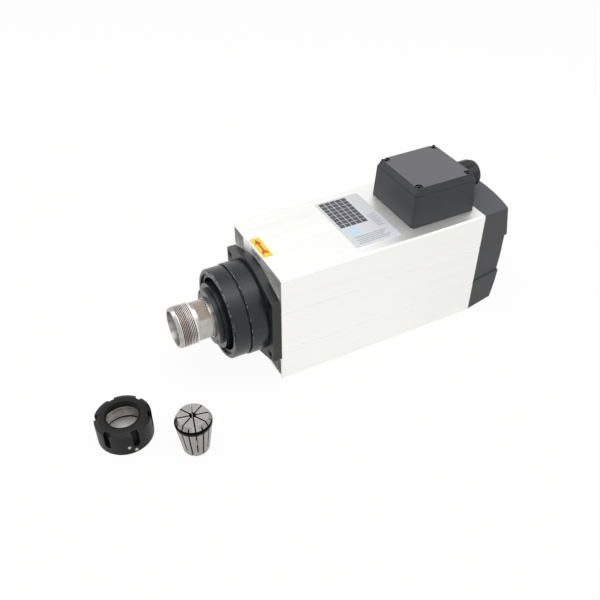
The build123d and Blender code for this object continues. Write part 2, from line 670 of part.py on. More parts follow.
rear_outer = (REAR_PITCH_R + SHOULDER_GAP, REAR_OUT_R - FIT)
rear_inner = (REAR_BORE_R + FIT, REAR_PITCH_R - SHOULDER_GAP)
write(race_ring(*rear_outer, REAR_BEARING_Y, REAR_W, REAR_PITCH_R, REAR_BALL_R), "rear_bearing_outer_ring")
write(race_ring(*rear_inner, REAR_BEARING_Y, REAR_W, REAR_PITCH_R, REAR_BALL_R), "rear_bearing_inner_ring")
write(caged_balls(REAR_BEARING_Y, REAR_W, REAR_PITCH_R, REAR_BALL_R, REAR_BALLS), "rear_caged_balls")
write(
    turned(
        (
            REAR_PITCH_R + SHOULDER_GAP,
            REAR_OUT_R - SEAT_GAP,
            REAR_STOP_Y - SPRING_T - SEAT_GAP / 2,
            REAR_STOP_Y - SEAT_GAP / 2,
        )
    ),
    "preload_spring",
)
write(circlip(REAR_BORE_R - CIRCLIP_GROOVE, REAR_BEARING_Y + REAR_W), "bearing_circlip")

# ------------------------------------------------------------------ cooling fan, its twisted blades lofted
fan_middle = FAN_Y + FAN_HUB_L / 2
with BuildPart() as fan_blade:
    for blade_r, pitch in ((FAN_HUB_R - FAN_ROOT_SINK, FAN_ROOT_PITCH), (FAN_TIP_R, FAN_TIP_PITCH)):
        with BuildSketch(Plane(origin=(blade_r, fan_middle, AXIS_Z), x_dir=(0, 1, 0), z_dir=(1, 0, 0))):
            Ellipse(FAN_CHORD / 2, FAN_BLADE_T / 2, rotation=pitch)
    loft()

with BuildPart() as cooling_fan:
    add(turned((FAN_SEAT_R + FIT, FAN_HUB_R, FAN_Y, FAN_END_Y)))
    for i in range(FAN_BLADES):
        add(fan_blade.part.rotate(SPIN_AXIS, i * 360 / FAN_BLADES))
write(cooling_fan.part, "cooling_fan")
write(circlip(FAN_SEAT_R - CIRCLIP_GROOVE, FAN_END_Y), "fan_circlip")


# ------------------------------------------------------------------ rear cover
def cover_form(inset):
    """The cover's domed block with every wall drawn in by inset, from the housing's rear face."""
    back = COVER_END_Y - inset
    half_w = HOUSING_W / 2 - inset
    with BuildPart() as form:
        with BuildSketch(Plane.YZ):
            with BuildLine():
                Polyline(
                    (REAR_Y, inset),
                    (REAR_Y, HOUSING_H - inset),
                    (back - COVER_TOP_DROP, HOUSING_H - inset),
                    (back, COVER_BELLY_Z),
                    (back, AXIS_Z),
                    (back - COVER_HEEL_DROP, COVER_HEEL_Z),
                    (back - COVER_TOE_DROP, COVER_TOE_Z + inset),
                    close=True,
                )
            make_face()
        revolve(axis=Axis((0, COVER_END_Y - DOME_R, 0), (0, 0, 1)))
        with BuildSketch(Plane.XY):
            with BuildLine():
                Polyline(
                    (half_w, REAR_Y),
                    (half_w - 2 * COVER_SIDE_TAPER, REAR_Y + 2 * COVER_L),
                    (2 * COVER_SIDE_TAPER - half_w, REAR_Y + 2 * COVER_L),
                    (-half_w, REAR_Y),
                    close=True,
                )
            make_face()
        extrude(amount=HOUSING_H, mode=Mode.INTERSECT)
    return form.part


def band_block():
    """Everything between the cover's two step lines, which climb towards the rear."""
    low, high = GROOVE_HEIGHTS
    with BuildPart() as block:
        with BuildSketch(Plane.YZ.offset(-HOUSING_W)):
            with BuildLine():
                Polyline(
                    (REAR_Y, low),
                    (REAR_Y, high),
                    (COVER_END_Y, high + BAND_RISE),
                    (COVER_END_Y, low + BAND_RISE),
                    close=True,
                )
            make_face()
        extrude(amount=2 * HOUSING_W)
    return block.part


with BuildSketch() as grille_slots:
    for slot_r in reversed(GRILLE_RADII):
        Circle(slot_r + GRILLE_SLOT / 2)
        Circle(slot_r - GRILLE_SLOT / 2, mode=Mode.SUBTRACT)
    for rib_angle in GRILLE_RIB_ANGLES:
        Rectangle(2 * FAN_TIP_R, GRILLE_RIB, rotation=rib_angle, mode=Mode.SUBTRACT)

cover_step = band_block()
cover_core = cover_form(BAND_D)
with BuildPart() as rear_cover:
    add(cover_form(0))
    add(cover_step, mode=Mode.SUBTRACT)
    add(cover_core & cover_step)
    add(cover_form(BAND_D + COVER_WALL), mode=Mode.SUBTRACT)
    with BuildSketch(station(PLATE_BACK_Y)):
        with GridLocations(FLANGE_BOLT_DX, FLANGE_BOLT_DZ, 2, 2):
            Circle(COVER_BOSS_R)
    extrude(amount=-COVER_BOSS_L)
    with BuildSketch(station(PLATE_BACK_Y + COVER_SEAT_T)):
        with GridLocations(FLANGE_BOLT_DX, FLANGE_BOLT_DZ, 2, 2):
            Circle(M5_HEAD_R + SINK_GAP)
    extrude(amount=-COVER_L, mode=Mode.SUBTRACT)
    with BuildSketch(station(PLATE_BACK_Y)):
        with GridLocations(FLANGE_BOLT_DX, FLANGE_BOLT_DZ, 2, 2):
            Circle(M5_R + SINK_GAP)
    extrude(amount=-COVER_L, mode=Mode.SUBTRACT)
    with BuildSketch(station(FAN_END_Y + CIRCLIP_T + GRILLE_CLEAR)):
        add(grille_slots.sketch)
    extrude(amount=-COVER_L, mode=Mode.SUBTRACT)
write(rear_cover.part, "rear_cover")

with BuildPart() as rear_cover_screws:
    with BuildSketch(station(PLATE_BACK_Y + COVER_SEAT_T)):
        with GridLocations(FLANGE_BOLT_DX, FLANGE_BOLT_DZ, 2, 2):
            Circle(M5_HEAD_R)
    extrude(amount=-M5_HEAD_H)
    with BuildSketch(station(PLATE_BACK_Y + COVER_SEAT_T)):
        with GridLocations(FLANGE_BOLT_DX, FLANGE_BOLT_DZ, 2, 2):
            Circle(M5_R)
    extrude(amount=COVER_SEAT_T + PLATE_T + SCREW_GRIP)
write(rear_cover_screws.part, "rear_cover_screws")

# ------------------------------------------------------------------ terminal box
BOX_BASE_Z = HOUSING_H + BASE_GASKET_T
LID_Z = HOUSING_H + BOX_H - LID_T
BOX_TOP_Z = LID_Z - LID_GASKET_T
DRAFT_RUN = math.tan(math.radians(BOX_DRAFT))


def box_plane(z):
    """Horizontal plane on the terminal box's middle."""
    return Plane(origin=(BOX_X, BOX_Y, z))


def box_half(z):
    """Half-width of the drafted box at height z."""
    return BOX_W / 2 - (z - BOX_BASE_Z) * DRAFT_RUN


BOX_INNER = box_half(BOX_TOP_Z) - BOX_WALL

with BuildPart() as box_gasket:
    with BuildSketch(box_plane(HOUSING_H)):
        RectangleRounded(BOX_W, BOX_W, BOX_CORNER_R)
        Circle(WIRE_HOLE_R + WIRE_HOLE_STEP, mode=Mode.SUBTRACT)
        with GridLocations(BOX_SCREW_DX, BOX_SCREW_DY, 2, 2):
            Circle(M4_R + 2 * THREAD_FIT, mode=Mode.SUBTRACT)
    extrude(amount=BASE_GASKET_T)
write(box_gasket.part, "box_gasket")

with BuildPart() as terminal_box:
    with BuildSketch(box_plane(BOX_BASE_Z)):
        RectangleRounded(BOX_W, BOX_W, BOX_CORNER_R)
    extrude(amount=BOX_TOP_Z - BOX_BASE_Z, taper=BOX_DRAFT)
    with BuildSketch(across(BOX_Y + BOX_INNER)):
        with Locations((BOX_X, GLAND_Z)):
            Circle(GLAND_PAD_R)
    extrude(amount=BOX_INNER - BOX_W / 2 - GLAND_PAD_PROUD)
    with BuildSketch(box_plane(BOX_BASE_Z + BOX_FLOOR)):
        RectangleRounded(2 * BOX_INNER, 2 * BOX_INNER, BOX_CORNER_R / 2)
        with GridLocations(2 * LID_SCREW_D, 2 * LID_SCREW_D, 2, 2):
            Circle(LID_BOSS_R, mode=Mode.SUBTRACT)
    extrude(amount=BOX_H, mode=Mode.SUBTRACT)
    with BuildSketch(box_plane(BOX_BASE_Z)):
        Circle(WIRE_HOLE_R + WIRE_HOLE_STEP)
        with GridLocations(BOX_SCREW_DX, BOX_SCREW_DY, 2, 2):
            Circle(M4_R + SINK_GAP)
    extrude(amount=BOX_FLOOR, mode=Mode.SUBTRACT)
    with BuildSketch(box_plane(BOX_TOP_Z)):
        with GridLocations(2 * LID_SCREW_D, 2 * LID_SCREW_D, 2, 2):
            Circle(M4_R + THREAD_FIT)
    extrude(amount=-SCREW_GRIP - TAP_SPARE, mode=Mode.SUBTRACT)
    with BuildSketch(across(BOX_Y)):
        with Locations((BOX_X, GLAND_Z)):
            Circle(GLAND_THREAD_R + FIT)
    extrude(amount=-BOX_W, mode=Mode.SUBTRACT)
write(terminal_box.part, "terminal_box")

with BuildPart() as lid_gasket:
    with BuildSketch(box_plane(BOX_TOP_Z)):
        RectangleRounded(2 * box_half(LID_Z), 2 * box_half(LID_Z), BOX_CORNER_R)
        RectangleRounded(2 * BOX_INNER, 2 * BOX_INNER, BOX_CORNER_R / 2, mode=Mode.SUBTRACT)
    extrude(amount=LID_GASKET_T)
write(lid_gasket.part, "lid_gasket")

with BuildPart() as box_screws:
    with BuildSketch(box_plane(BOX_BASE_Z + BOX_FLOOR)):
        with GridLocations(BOX_SCREW_DX, BOX_SCREW_DY, 2, 2):
            Circle(M4_HEAD_R)
    extrude(amount=M4_HEAD_H)
    with BuildSketch(box_plane(BOX_BASE_Z + BOX_FLOOR)):
        with GridLocations(BOX_SCREW_DX, BOX_SCREW_DY, 2, 2):
            Circle(M4_R)
    extrude(amount=-BOX_FLOOR - BASE_GASKET_T - BOX_SCREW_GRIP)
write(box_screws.part, "box_screws")

with BuildPart() as terminal_lid:
    with BuildSketch(box_plane(LID_Z)):
        RectangleRounded(2 * box_half(LID_Z), 2 * box_half(LID_Z), BOX_CORNER_R)
    extrude(amount=LID_T, taper=LID_TAPER)
    with BuildSketch(box_plane(LID_Z)):
        RectangleRounded(2 * (BOX_INNER - LID_RIM), 2 * (BOX_INNER - LID_RIM), BOX_CORNER_R / 2)
        with GridLocations(2 * LID_SCREW_D, 2 * LID_SCREW_D, 2, 2):
            Circle(LID_BOSS_R + LID_RIM, mode=Mode.SUBTRACT)
    extrude(amount=LID_T - LID_PLATE, mode=Mode.SUBTRACT)
    with BuildSketch(box_plane(LID_Z + LID_T)):
        with GridLocations(2 * LID_SCREW_D, 2 * LID_SCREW_D, 2, 2):
            Circle(M4_HEAD_R + SINK_GAP)
    extrude(amount=-LID_SINK, mode=Mode.SUBTRACT)
    with BuildSketch(box_plane(LID_Z)):
        with GridLocations(2 * LID_SCREW_D, 2 * LID_SCREW_D, 2, 2):
            Circle(M4_R + SINK_GAP)
    extrude(amount=LID_T, mode=Mode.SUBTRACT)
write(terminal_lid.part, "terminal_lid")

with BuildPart() as lid_screws:
    with BuildSketch(box_plane(LID_Z + LID_T - LID_SINK)):
        with GridLocations(2 * LID_SCREW_D, 2 * LID_SCREW_D, 2, 2):
            Circle(M4_HEAD_R)
    extrude(amount=M4_HEAD_H)
    with BuildSketch(box_plane(LID_Z + LID_T - LID_SINK)):
        with GridLocations(2 * LID_SCREW_D, 2 * LID_SCREW_D, 2, 2):
            Circle(M4_R)
    extrude(amount=-LID_T + LID_SINK - LID_GASKET_T - SCREW_GRIP)
write(lid_screws.part, "lid_screws")

# ------------------------------------------------------------------ terminal block with its screws
BLOCK_Z = BOX_BASE_Z + BOX_FLOOR
BLOCK_L = BOX_SCREW_DX - 2 * (M4_HEAD_R + BLOCK_SCREW_GAP)
BLOCK_W = BOX_INNER - WIRE_HOLE_R - BLOCK_GAP - BLOCK_WALL_GAP
POLE_PITCH = (BLOCK_L - BLOCK_RIB_T) / BLOCK_POLES


def block_plane(z):
    """Horizontal plane on the terminal block's middle."""
    return Plane(origin=(BOX_X, BOX_Y - WIRE_HOLE_R - BLOCK_GAP - BLOCK_W / 2, z))


with BuildPart() as terminal_block:
    with BuildSketch(block_plane(BLOCK_Z)):
        Rectangle(BLOCK_L, BLOCK_W)
    extrude(amount=BLOCK_H)
    with BuildSketch(block_plane(BLOCK_Z + BLOCK_H)):
        with GridLocations(POLE_PITCH, 1, BLOCK_POLES + 1, 1):
            Rectangle(BLOCK_RIB_T, BLOCK_W)
    extrude(amount=BLOCK_RIB_H)
    with BuildSketch(block_plane(BLOCK_Z + BLOCK_H)):
        with GridLocations(POLE_PITCH, BLOCK_W / 2, BLOCK_POLES, 2):
            Circle(M4_R + THREAD_FIT)
    extrude(amount=-SCREW_GRIP - BLOCK_TAP_SPARE, mode=Mode.SUBTRACT)
write(terminal_block.part, "terminal_block")

with BuildPart() as terminal_screws:
    with BuildSketch(block_plane(BLOCK_Z + BLOCK_H)):
        with GridLocations(POLE_PITCH, BLOCK_W / 2, BLOCK_POLES, 2):
            Circle(M4_HEAD_R)
    extrude(amount=M4_HEAD_H)
    with BuildSketch(block_plane(BLOCK_Z + BLOCK_H)):
        with GridLocations(POLE_PITCH, BLOCK_W / 2, BLOCK_POLES, 2):
            Circle(M4_R)
    extrude(amount=-SCREW_GRIP)
write(terminal_screws.part, "terminal_screws")

# ------------------------------------------------------------------ cable gland on the box's rear wall
GLAND_Y = BOX_Y + BOX_W / 2 + GLAND_PAD_PROUD
GLAND_WALL_Y = BOX_Y + BOX_INNER
GLAND_TAIL_Y = GLAND_WALL_Y - GLAND_LOCKNUT_T - GLAND_THREAD_TAIL
GLAND_NUT_Y = GLAND_Y + GLAND_HEX_T


def gland_plane(y):
    """Plane square to the gland at station y, on its middle."""
    return Plane(origin=(BOX_X, y, GLAND_Z), x_dir=(1, 0, 0), z_dir=(0, -1, 0))


with BuildPart() as gland_body:
    with BuildSketch(gland_plane(GLAND_TAIL_Y)):
        Circle(GLAND_THREAD_R)
    extrude(amount=GLAND_TAIL_Y - GLAND_NUT_Y - GLAND_THREAD_OUT)
    with BuildSketch(gland_plane(GLAND_Y)):
        RegularPolygon(GLAND_HEX_R, 6, major_radius=False)
    extrude(amount=-GLAND_HEX_T)
    with BuildSketch(gland_plane(GLAND_TAIL_Y)):
        Circle(GLAND_BORE_R)
    extrude(amount=-BOX_W, mode=Mode.SUBTRACT)
write(gland_body.part, "gland_body")

with BuildPart() as gland_locknut:
    with BuildSketch(gland_plane(GLAND_WALL_Y)):
        RegularPolygon(GLAND_LOCKNUT_R, 6, major_radius=False)
        Circle(GLAND_THREAD_R + FIT, mode=Mode.SUBTRACT)
    extrude(amount=GLAND_LOCKNUT_T)
write(gland_locknut.part, "gland_locknut")

with BuildPart() as gland_nut:
    with BuildSketch(gland_plane(GLAND_NUT_Y + SEAT_GAP)):
        Circle(GLAND_NUT_R - GLAND_RIB_D)
    extrude(amount=-GLAND_NUT_L)
    fillet(gland_nut.faces().sort_by(Axis.Y)[-1].edges(), GLAND_DOME_R)
    with BuildSketch(gland_plane(GLAND_NUT_Y + SEAT_GAP)):
        Circle(GLAND_NUT_R)
        with PolarLocations(GLAND_NUT_R, GLAND_RIBS):
            Circle(GLAND_RIB_D, mode=Mode.SUBTRACT)
    extrude(amount=-GLAND_RIB_L)
    with BuildSketch(gland_plane(GLAND_NUT_Y)):
        Circle(GLAND_THREAD_R + FIT)
    extrude(amount=-GLAND_NUT_L + GLAND_MOUTH_T, mode=Mode.SUBTRACT)
    with BuildSketch(gland_plane(GLAND_NUT_Y)):
        Circle(CABLE_R + CABLE_GAP)
    extrude(amount=-2 * GLAND_NUT_L, mode=Mode.SUBTRACT)
write(gland_nut.part, "gland_nut")

with BuildPart() as gland_seal:
    with BuildSketch(gland_plane(GLAND_NUT_Y)):
        Circle(GLAND_BORE_R - FIT)
    extrude(amount=-GLAND_THREAD_OUT)
    with BuildSketch(gland_plane(GLAND_NUT_Y + GLAND_THREAD_OUT)):
        Circle(GLAND_THREAD_R - SEAT_GAP)
    extrude(amount=GLAND_THREAD_OUT + GLAND_MOUTH_T + SEAT_GAP - GLAND_NUT_L)
    with BuildSketch(gland_plane(GLAND_NUT_Y)):
        Circle(CABLE_R)
    extrude(amount=-GLAND_NUT_L, mode=Mode.SUBTRACT)
write(gland_seal.part, "gland_seal")

# ------------------------------------------------------------------ collet nut with its pressure ring
NUT_SECTION = Plane(origin=(NUT_X, NUT_Y, 0), x_dir=(1, 0, 0), z_dir=(0, -1, 0))
NUT_AXIS = Axis((NUT_X, NUT_Y, 0), (0, 0, 1))
NUT_LIP_Z = NUT_H - NUT_LIP_T
NUT_SEAT_Z = NUT_THREAD_L + NUT_RELIEF_L


def nut_side(angle, r, z):
    """Plane facing out of the nut's side: local x runs round the nut, local y is Z."""
    heading = math.radians(angle)
    out = (math.cos(heading), math.sin(heading), 0)
    return Plane(origin=(NUT_X + r * out[0], NUT_Y + r * out[1], z), x_dir=(-out[1], out[0], 0), z_dir=out)


with BuildPart() as collet_nut:
    with BuildSketch(NUT_SECTION):
        with BuildLine():
            Polyline(
                (NUT_MINOR_R + NUT_EDGE, 0),
                (NUT_R - NUT_EDGE, 0),
                (NUT_R, NUT_EDGE),
                (NUT_R, NUT_H - NUT_BEVEL_L),
                (NUT_FACE_R, NUT_H),
                (NUT_LIP_R, NUT_H),
                (NUT_LIP_R, NUT_LIP_Z),
                (NUT_SEAT_R, NUT_LIP_Z),
                (NUT_SEAT_R, NUT_SEAT_Z),
                (NUT_RELIEF_R, NUT_SEAT_Z),
                (NUT_RELIEF_R, NUT_THREAD_L),
                (NUT_MINOR_R, NUT_THREAD_L),
                (NUT_MINOR_R, NUT_EDGE),
                close=True,
            )
        make_face()
    revolve(axis=NUT_AXIS)
    for i in range(NUT_SLOTS):
        slot_angle = NUT_SLOT_ANGLE + i * 360 / NUT_SLOTS
        with BuildSketch(nut_side(slot_angle, NUT_SLOT_ROOT_R, NUT_SLOT_FLOOR + NUT_SLOT_W / 2)):
            Circle(NUT_SLOT_W / 2)
            with Locations((0, NUT_H / 2)):
                Rectangle(NUT_SLOT_W, NUT_H)
        extrude(amount=NUT_R, mode=Mode.SUBTRACT)
    for drill_angle, drill_z in NUT_DRILLINGS:
        with BuildSketch(nut_side(drill_angle, NUT_R, drill_z)):
            Circle(NUT_DRILL_R)
        extrude(amount=-NUT_DRILL_D, mode=Mode.SUBTRACT)
write(collet_nut.part, "collet_nut")

with BuildPart() as pressure_ring:
    with BuildSketch(NUT_SECTION):
        with BuildLine():
            Polyline(
                (PRESS_RING_CONE_R, NUT_SEAT_Z),
                (NUT_SEAT_R - FIT, NUT_SEAT_Z),
                (NUT_SEAT_R - FIT, NUT_LIP_Z),
                (NUT_LIP_R - FIT, NUT_LIP_Z),
                (NUT_LIP_R - FIT, NUT_H - NUT_EDGE),
                (PRESS_RING_MOUTH_R, NUT_H - NUT_EDGE),
                (PRESS_RING_MOUTH_R, NUT_LIP_Z),
                close=True,
            )
        make_face()
    revolve(axis=NUT_AXIS)
write(pressure_ring.part, "pressure_ring")

# ------------------------------------------------------------------ collet, slotted from both ends
COLLET_SECTION = Plane(origin=(COLLET_X, COLLET_Y, 0), x_dir=(1, 0, 0), z_dir=(0, -1, 0))
COLLET_AXIS = Axis((COLLET_X, COLLET_Y, 0), (0, 0, 1))
COLLET_TAIL_R = COLLET_R - COLLET_SHOULDER_Z * math.tan(math.radians(TAPER_HALF_ANGLE))
COLLET_GROOVE_Z = COLLET_SHOULDER_Z + COLLET_GROOVE_W


def collet_plane(z):
    """Horizontal plane on the collet's middle, turned to its first front slot."""
    heading = math.radians(COLLET_SLOT_ANGLE)
    return Plane(origin=(COLLET_X, COLLET_Y, z), x_dir=(math.cos(heading), math.sin(heading), 0))


with BuildPart() as collet:
    with BuildSketch(COLLET_SECTION):
        with BuildLine():
            Polyline(
                (COLLET_RELIEF_R, 0),
                (COLLET_TAIL_R, 0),
                (COLLET_R, COLLET_SHOULDER_Z),
                (COLLET_GROOVE_R, COLLET_SHOULDER_Z),
                (COLLET_GROOVE_R, COLLET_GROOVE_Z),
                (COLLET_CONE_R, COLLET_GROOVE_Z),
                (COLLET_NOSE_R, COLLET_H),
                (COLLET_BORE_R, COLLET_H),
                (COLLET_BORE_R, COLLET_RELIEF_L),
                (COLLET_RELIEF_R, COLLET_RELIEF_L),
                close=True,
            )
        make_face()
    revolve(axis=COLLET_AXIS)
    with BuildSketch(collet_plane(COLLET_TAIL_WEB)):
        with PolarLocations(COLLET_R / 2, COLLET_SLOTS):
            Rectangle(COLLET_R + COLLET_BORE_R, COLLET_SLOT_W)
    extrude(amount=COLLET_H, mode=Mode.SUBTRACT)
    with BuildSketch(collet_plane(0)):
        with PolarLocations(COLLET_R / 2, COLLET_SLOTS, start_angle=180 / COLLET_SLOTS):
            Rectangle(COLLET_R + COLLET_BORE_R, COLLET_SLOT_W)
    extrude(amount=COLLET_H - COLLET_TOP_WEB, mode=Mode.SUBTRACT)
write(collet.part, "collet")
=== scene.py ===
import json
import math

import bpy
import numpy as np
from mathutils import Matrix, Vector

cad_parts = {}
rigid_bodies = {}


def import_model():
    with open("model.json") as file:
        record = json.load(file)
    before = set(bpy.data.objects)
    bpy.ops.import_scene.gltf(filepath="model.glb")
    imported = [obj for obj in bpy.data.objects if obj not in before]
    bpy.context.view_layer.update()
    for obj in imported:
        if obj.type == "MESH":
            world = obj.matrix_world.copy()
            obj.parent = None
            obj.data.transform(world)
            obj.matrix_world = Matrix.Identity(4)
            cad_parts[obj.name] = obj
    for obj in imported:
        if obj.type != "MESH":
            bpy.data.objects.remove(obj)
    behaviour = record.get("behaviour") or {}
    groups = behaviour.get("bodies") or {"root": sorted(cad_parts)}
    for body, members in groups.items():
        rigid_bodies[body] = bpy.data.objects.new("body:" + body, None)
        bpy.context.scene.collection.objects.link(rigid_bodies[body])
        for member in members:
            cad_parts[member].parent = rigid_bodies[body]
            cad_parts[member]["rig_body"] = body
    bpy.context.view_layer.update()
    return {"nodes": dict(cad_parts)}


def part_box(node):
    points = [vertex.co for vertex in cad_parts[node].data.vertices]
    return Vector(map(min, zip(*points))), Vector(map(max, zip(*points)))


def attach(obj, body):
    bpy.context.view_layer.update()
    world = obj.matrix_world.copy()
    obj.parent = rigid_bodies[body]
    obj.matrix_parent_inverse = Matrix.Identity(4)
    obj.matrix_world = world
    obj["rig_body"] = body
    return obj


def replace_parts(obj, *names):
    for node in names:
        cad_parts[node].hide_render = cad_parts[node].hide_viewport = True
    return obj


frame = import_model()

MM = 0.001
AXIS_Z = 60.0              # height of the spindle axis, mm
TOP_Z = 120.0              # top face of the housing
NUT = (47.1, -265.5)       # middle of the loose nut
COLLET = (88.9, -214.6)    # middle of the loose collet
COLLET_H = 40.0
LID_TOP = 160.0
NEAR = 0.05                # slack where a face's middle is compared with a stated plane
ON_WALL = 0.01             # slack where a corner is compared with a wall's radius
LEVEL = 0.9                # a normal's upward share from which its face counts as level,
LOOKS_UP = 0.6             # as looking up,
UPRIGHT = 0.1              # and below which as upright

# ------------------------------------------------------------------ camera
CAMERA_PLACE = (0.49933, -0.32868, 0.51991)      # metres
CAMERA_ANGLES = (62.185, 40.171, 0.306)          # azimuth, elevation and roll, degrees
LENS, SENSOR = 44.384, 36.0


def place_camera():
    """A camera whose axes are turned by azimuth, elevation and roll from looking along +Y."""
    azimuth, elevation, roll = (math.radians(angle) for angle in CAMERA_ANGLES)
    back = Vector((
        math.sin(azimuth) * math.cos(elevation),
        -math.cos(azimuth) * math.cos(elevation),
        math.sin(elevation),
    ))
    side = (-back).cross(Vector((0, 0, 1))).normalized()
    up = side.cross(-back)
    right = math.cos(roll) * side + math.sin(roll) * up
    over = -math.sin(roll) * side + math.cos(roll) * up
    turn = Matrix((right, over, back)).transposed()
    data = bpy.data.cameras.new("camera")
    data.sensor_width = SENSOR
    data.lens = LENS
    data.clip_start = 0.01
    camera = bpy.data.objects.new("camera", data)
    camera.matrix_world = Matrix.Translation(CAMERA_PLACE) @ turn.to_4x4()
    bpy.context.scene.collection.objects.link(camera)
    bpy.context.scene.camera = camera


place_camera()

# ------------------------------------------------------------------ colours and nodes
MIX_A, MIX_B, MIXED = 6, 7, 2          # a Mix node's two colour sockets, and the output that holds its colour
NOISE_LOW, NOISE_HIGH = 0.3, 0.7       # noise values between which colour and roughness change over
NOISE_ROUGHNESS = 0.6
ROOT_FROM, ROOT_FULL = 0.25, 0.85      # depths in a groove, as shares, between which its painted root shade comes in
ROOT_MOST = 0.9                        # share of the painted shade colour at the root


def linear(hex_colour):
    """sRGB hex to linear: c / 12.92 up to 0.04045, and ((c + 0.055) / 1.055) ^ 2.4 above."""
    c = np.array([int(hex_colour[i:i + 2], 16) for i in (1, 3, 5)]) / 255
    return (*np.where(c <= 0.04045, c / 12.92, ((c + 0.055) / 1.055) ** 2.4), 1.0)


def add(tree, kind, inputs=(), **settings):
    """Adds a node. inputs maps a socket to a value, or to (node, output) for a link."""
    made = tree.nodes.new(kind)
    for name, value in settings.items():
        setattr(made, name, value)
    for socket, value in dict(inputs).items():
        if isinstance(value, tuple) and isinstance(value[0], bpy.types.Node):
            tree.links.new(value[0].outputs[value[1]], made.inputs[socket])
        else:
            made.inputs[socket].default_value = value
    return made


def begin(name):
    """A new material's node tree, its coordinates, its shader and its output, joined."""
    material = bpy.data.materials.new(name)
    material.use_nodes = True
    tree = material.node_tree
    tree.nodes.clear()
    shader = add(tree, "ShaderNodeBsdfPrincipled")
    add(tree, "ShaderNodeOutputMaterial", {"Surface": (shader, "BSDF")})
    place = add(tree, "ShaderNodeTexCoord")
    return material, tree, place, shader


def per_mm(size):
    """Texture scale that gives features of size millimetres on coordinates in metres."""
    return 1 / (size * MM)


def grained(
    name, dark, light, grain, roughness, bump, metallic=0.0, stretch=(1, 1, 1), detail=4.0, specular=0.5,
):
    """A material whose colour and roughness wander between two values with a noise, and a bump of the same noise.

    The grain is the noise's size and the bump its height, both in millimetres. Returns what a finish may add to."""
    material, tree, place, shader = begin(name)
    laid = add(tree, "ShaderNodeMapping", {"Vector": (place, "Object"), "Scale": stretch})
    noise = add(
        tree, "ShaderNodeTexNoise",
        {"Vector": (laid, "Vector"), "Scale": per_mm(grain), "Detail": detail, "Roughness": NOISE_ROUGHNESS},
    )
    tint = add(tree, "ShaderNodeValToRGB", {"Fac": (noise, "Fac")})
    tint.color_ramp.elements[0].position, tint.color_ramp.elements[1].position = NOISE_LOW, NOISE_HIGH
    tint.color_ramp.elements[0].color, tint.color_ramp.elements[1].color = linear(dark), linear(light)
    rough = add(tree, "ShaderNodeMapRange", {
        "Value": (noise, "Fac"), "From Min": NOISE_LOW, "From Max": NOISE_HIGH,
        "To Min": roughness[0], "To Max": roughness[1],
    })
    relief = add(tree, "ShaderNodeBump", {"Height": (noise, "Fac"), "Strength": 1.0, "Distance": bump * MM})
    tree.links.new(tint.outputs["Color"], shader.inputs["Base Color"])
    tree.links.new(rough.outputs["Result"], shader.inputs["Roughness"])
    tree.links.new(relief.outputs["Normal"], shader.inputs["Normal"])
    shader.inputs["Metallic"].default_value = metallic
    shader.inputs["Specular IOR Level"].default_value = specular
    return material, tree, place, shader, tint


def mottled(*look, **more):
    """The grained material alone."""
    return grained(*look, **more)[0]


def threaded(name, land, root, roughness):
    """Cut thread: two land colours that fade to a painted shade colour at the roots by the piece's own groove_depth
    attribute.
    """
    material, tree, _, shader, tint = grained(name, *land, 1.2, roughness, 0.004, 1.0)
    depth = add(tree, "ShaderNodeAttribute", attribute_name="groove_depth")
    shade = add(tree, "ShaderNodeMapRange", {
        "Value": (depth, "Fac"), "From Min": ROOT_FROM, "From Max": ROOT_FULL, "To Min": 0.0, "To Max": ROOT_MOST,
    })
    deepened = add(
        tree, "ShaderNodeMix", {"Factor": (shade, "Result"), MIX_A: (tint, "Color"), MIX_B: linear(root)},
        data_type="RGBA",
    )
    tree.links.new(deepened.outputs[MIXED], shader.inputs["Base Color"])
    return material


# ------------------------------------------------------------------ finishes
# Silver anodised aluminium extrusion: a milky, even satin with very faint die lines along its length.
SILVER = mottled("silver_anodised_extrusion", "#f6f6f3", "#f9f9f7", 3.0, (0.42, 0.5), 0.002, 1.0, (1, 0.02, 1))

# Black anodised aluminium, turned: blue-black satin with fine tool rings round the spindle axis.
TURNED_BLACK = mottled(
    "black_anodised_turned", "#17191d", "#1f2227", 0.7, (0.22, 0.32), 0.005, 0.0, (0.05, 1, 0.05), specular=0.42,
)

# Black oxide on steel: a thin dark layer, slightly brown, that keeps little of the metal's shine.
BLACK_OXIDE = mottled("black_oxide_steel", "#151415", "#1d1c1c", 1.4, (0.36, 0.48), 0.004, specular=0.2)

# The same layer, blacker and duller: painted shade in milled slots and recesses, on the pressure ring and at the nut
# thread's foot.
PAINTED_SHADE_OXIDE = mottled("oiled_black_oxide", "#070707", "#0c0c0c", 1.0, (0.5, 0.65), 0.01, specular=0.15)

# Lid screws: oxide painted greyer as a painted highlight, standing for the light on the rims of their sockets.
SCREW_PAINTED_HIGHLIGHT = mottled("screw_black_oxide", "#1f1f21", "#29292b", 1.0, (0.3, 0.4), 0.004)

# Ground bearing and tool steel: bright, with grinding marks round the part.
GROUND = mottled("ground_steel", "#a9a6a1", "#c4c2be", 0.5, (0.2, 0.3), 0.003, 1.0, (0.05, 1, 0.05))

# Hardened steel bored out and honed inside the spindle's mouth: greyer than the ground outside.
BORED = mottled("honed_bore_steel", "#92908d", "#b2b0ac", 0.8, (0.22, 0.34), 0.004, 1.0, (0.05, 1, 0.05))

# Milled spanner flat, straw-brown from a painted reflection, with the cutter's cross lines.
FLAT_PAINTED_REFLECTION = mottled("milled_flat_steel", "#645b53", "#8f857b", 1.6, (0.34, 0.5), 0.006, 1.0, (1, 0.3, 1))

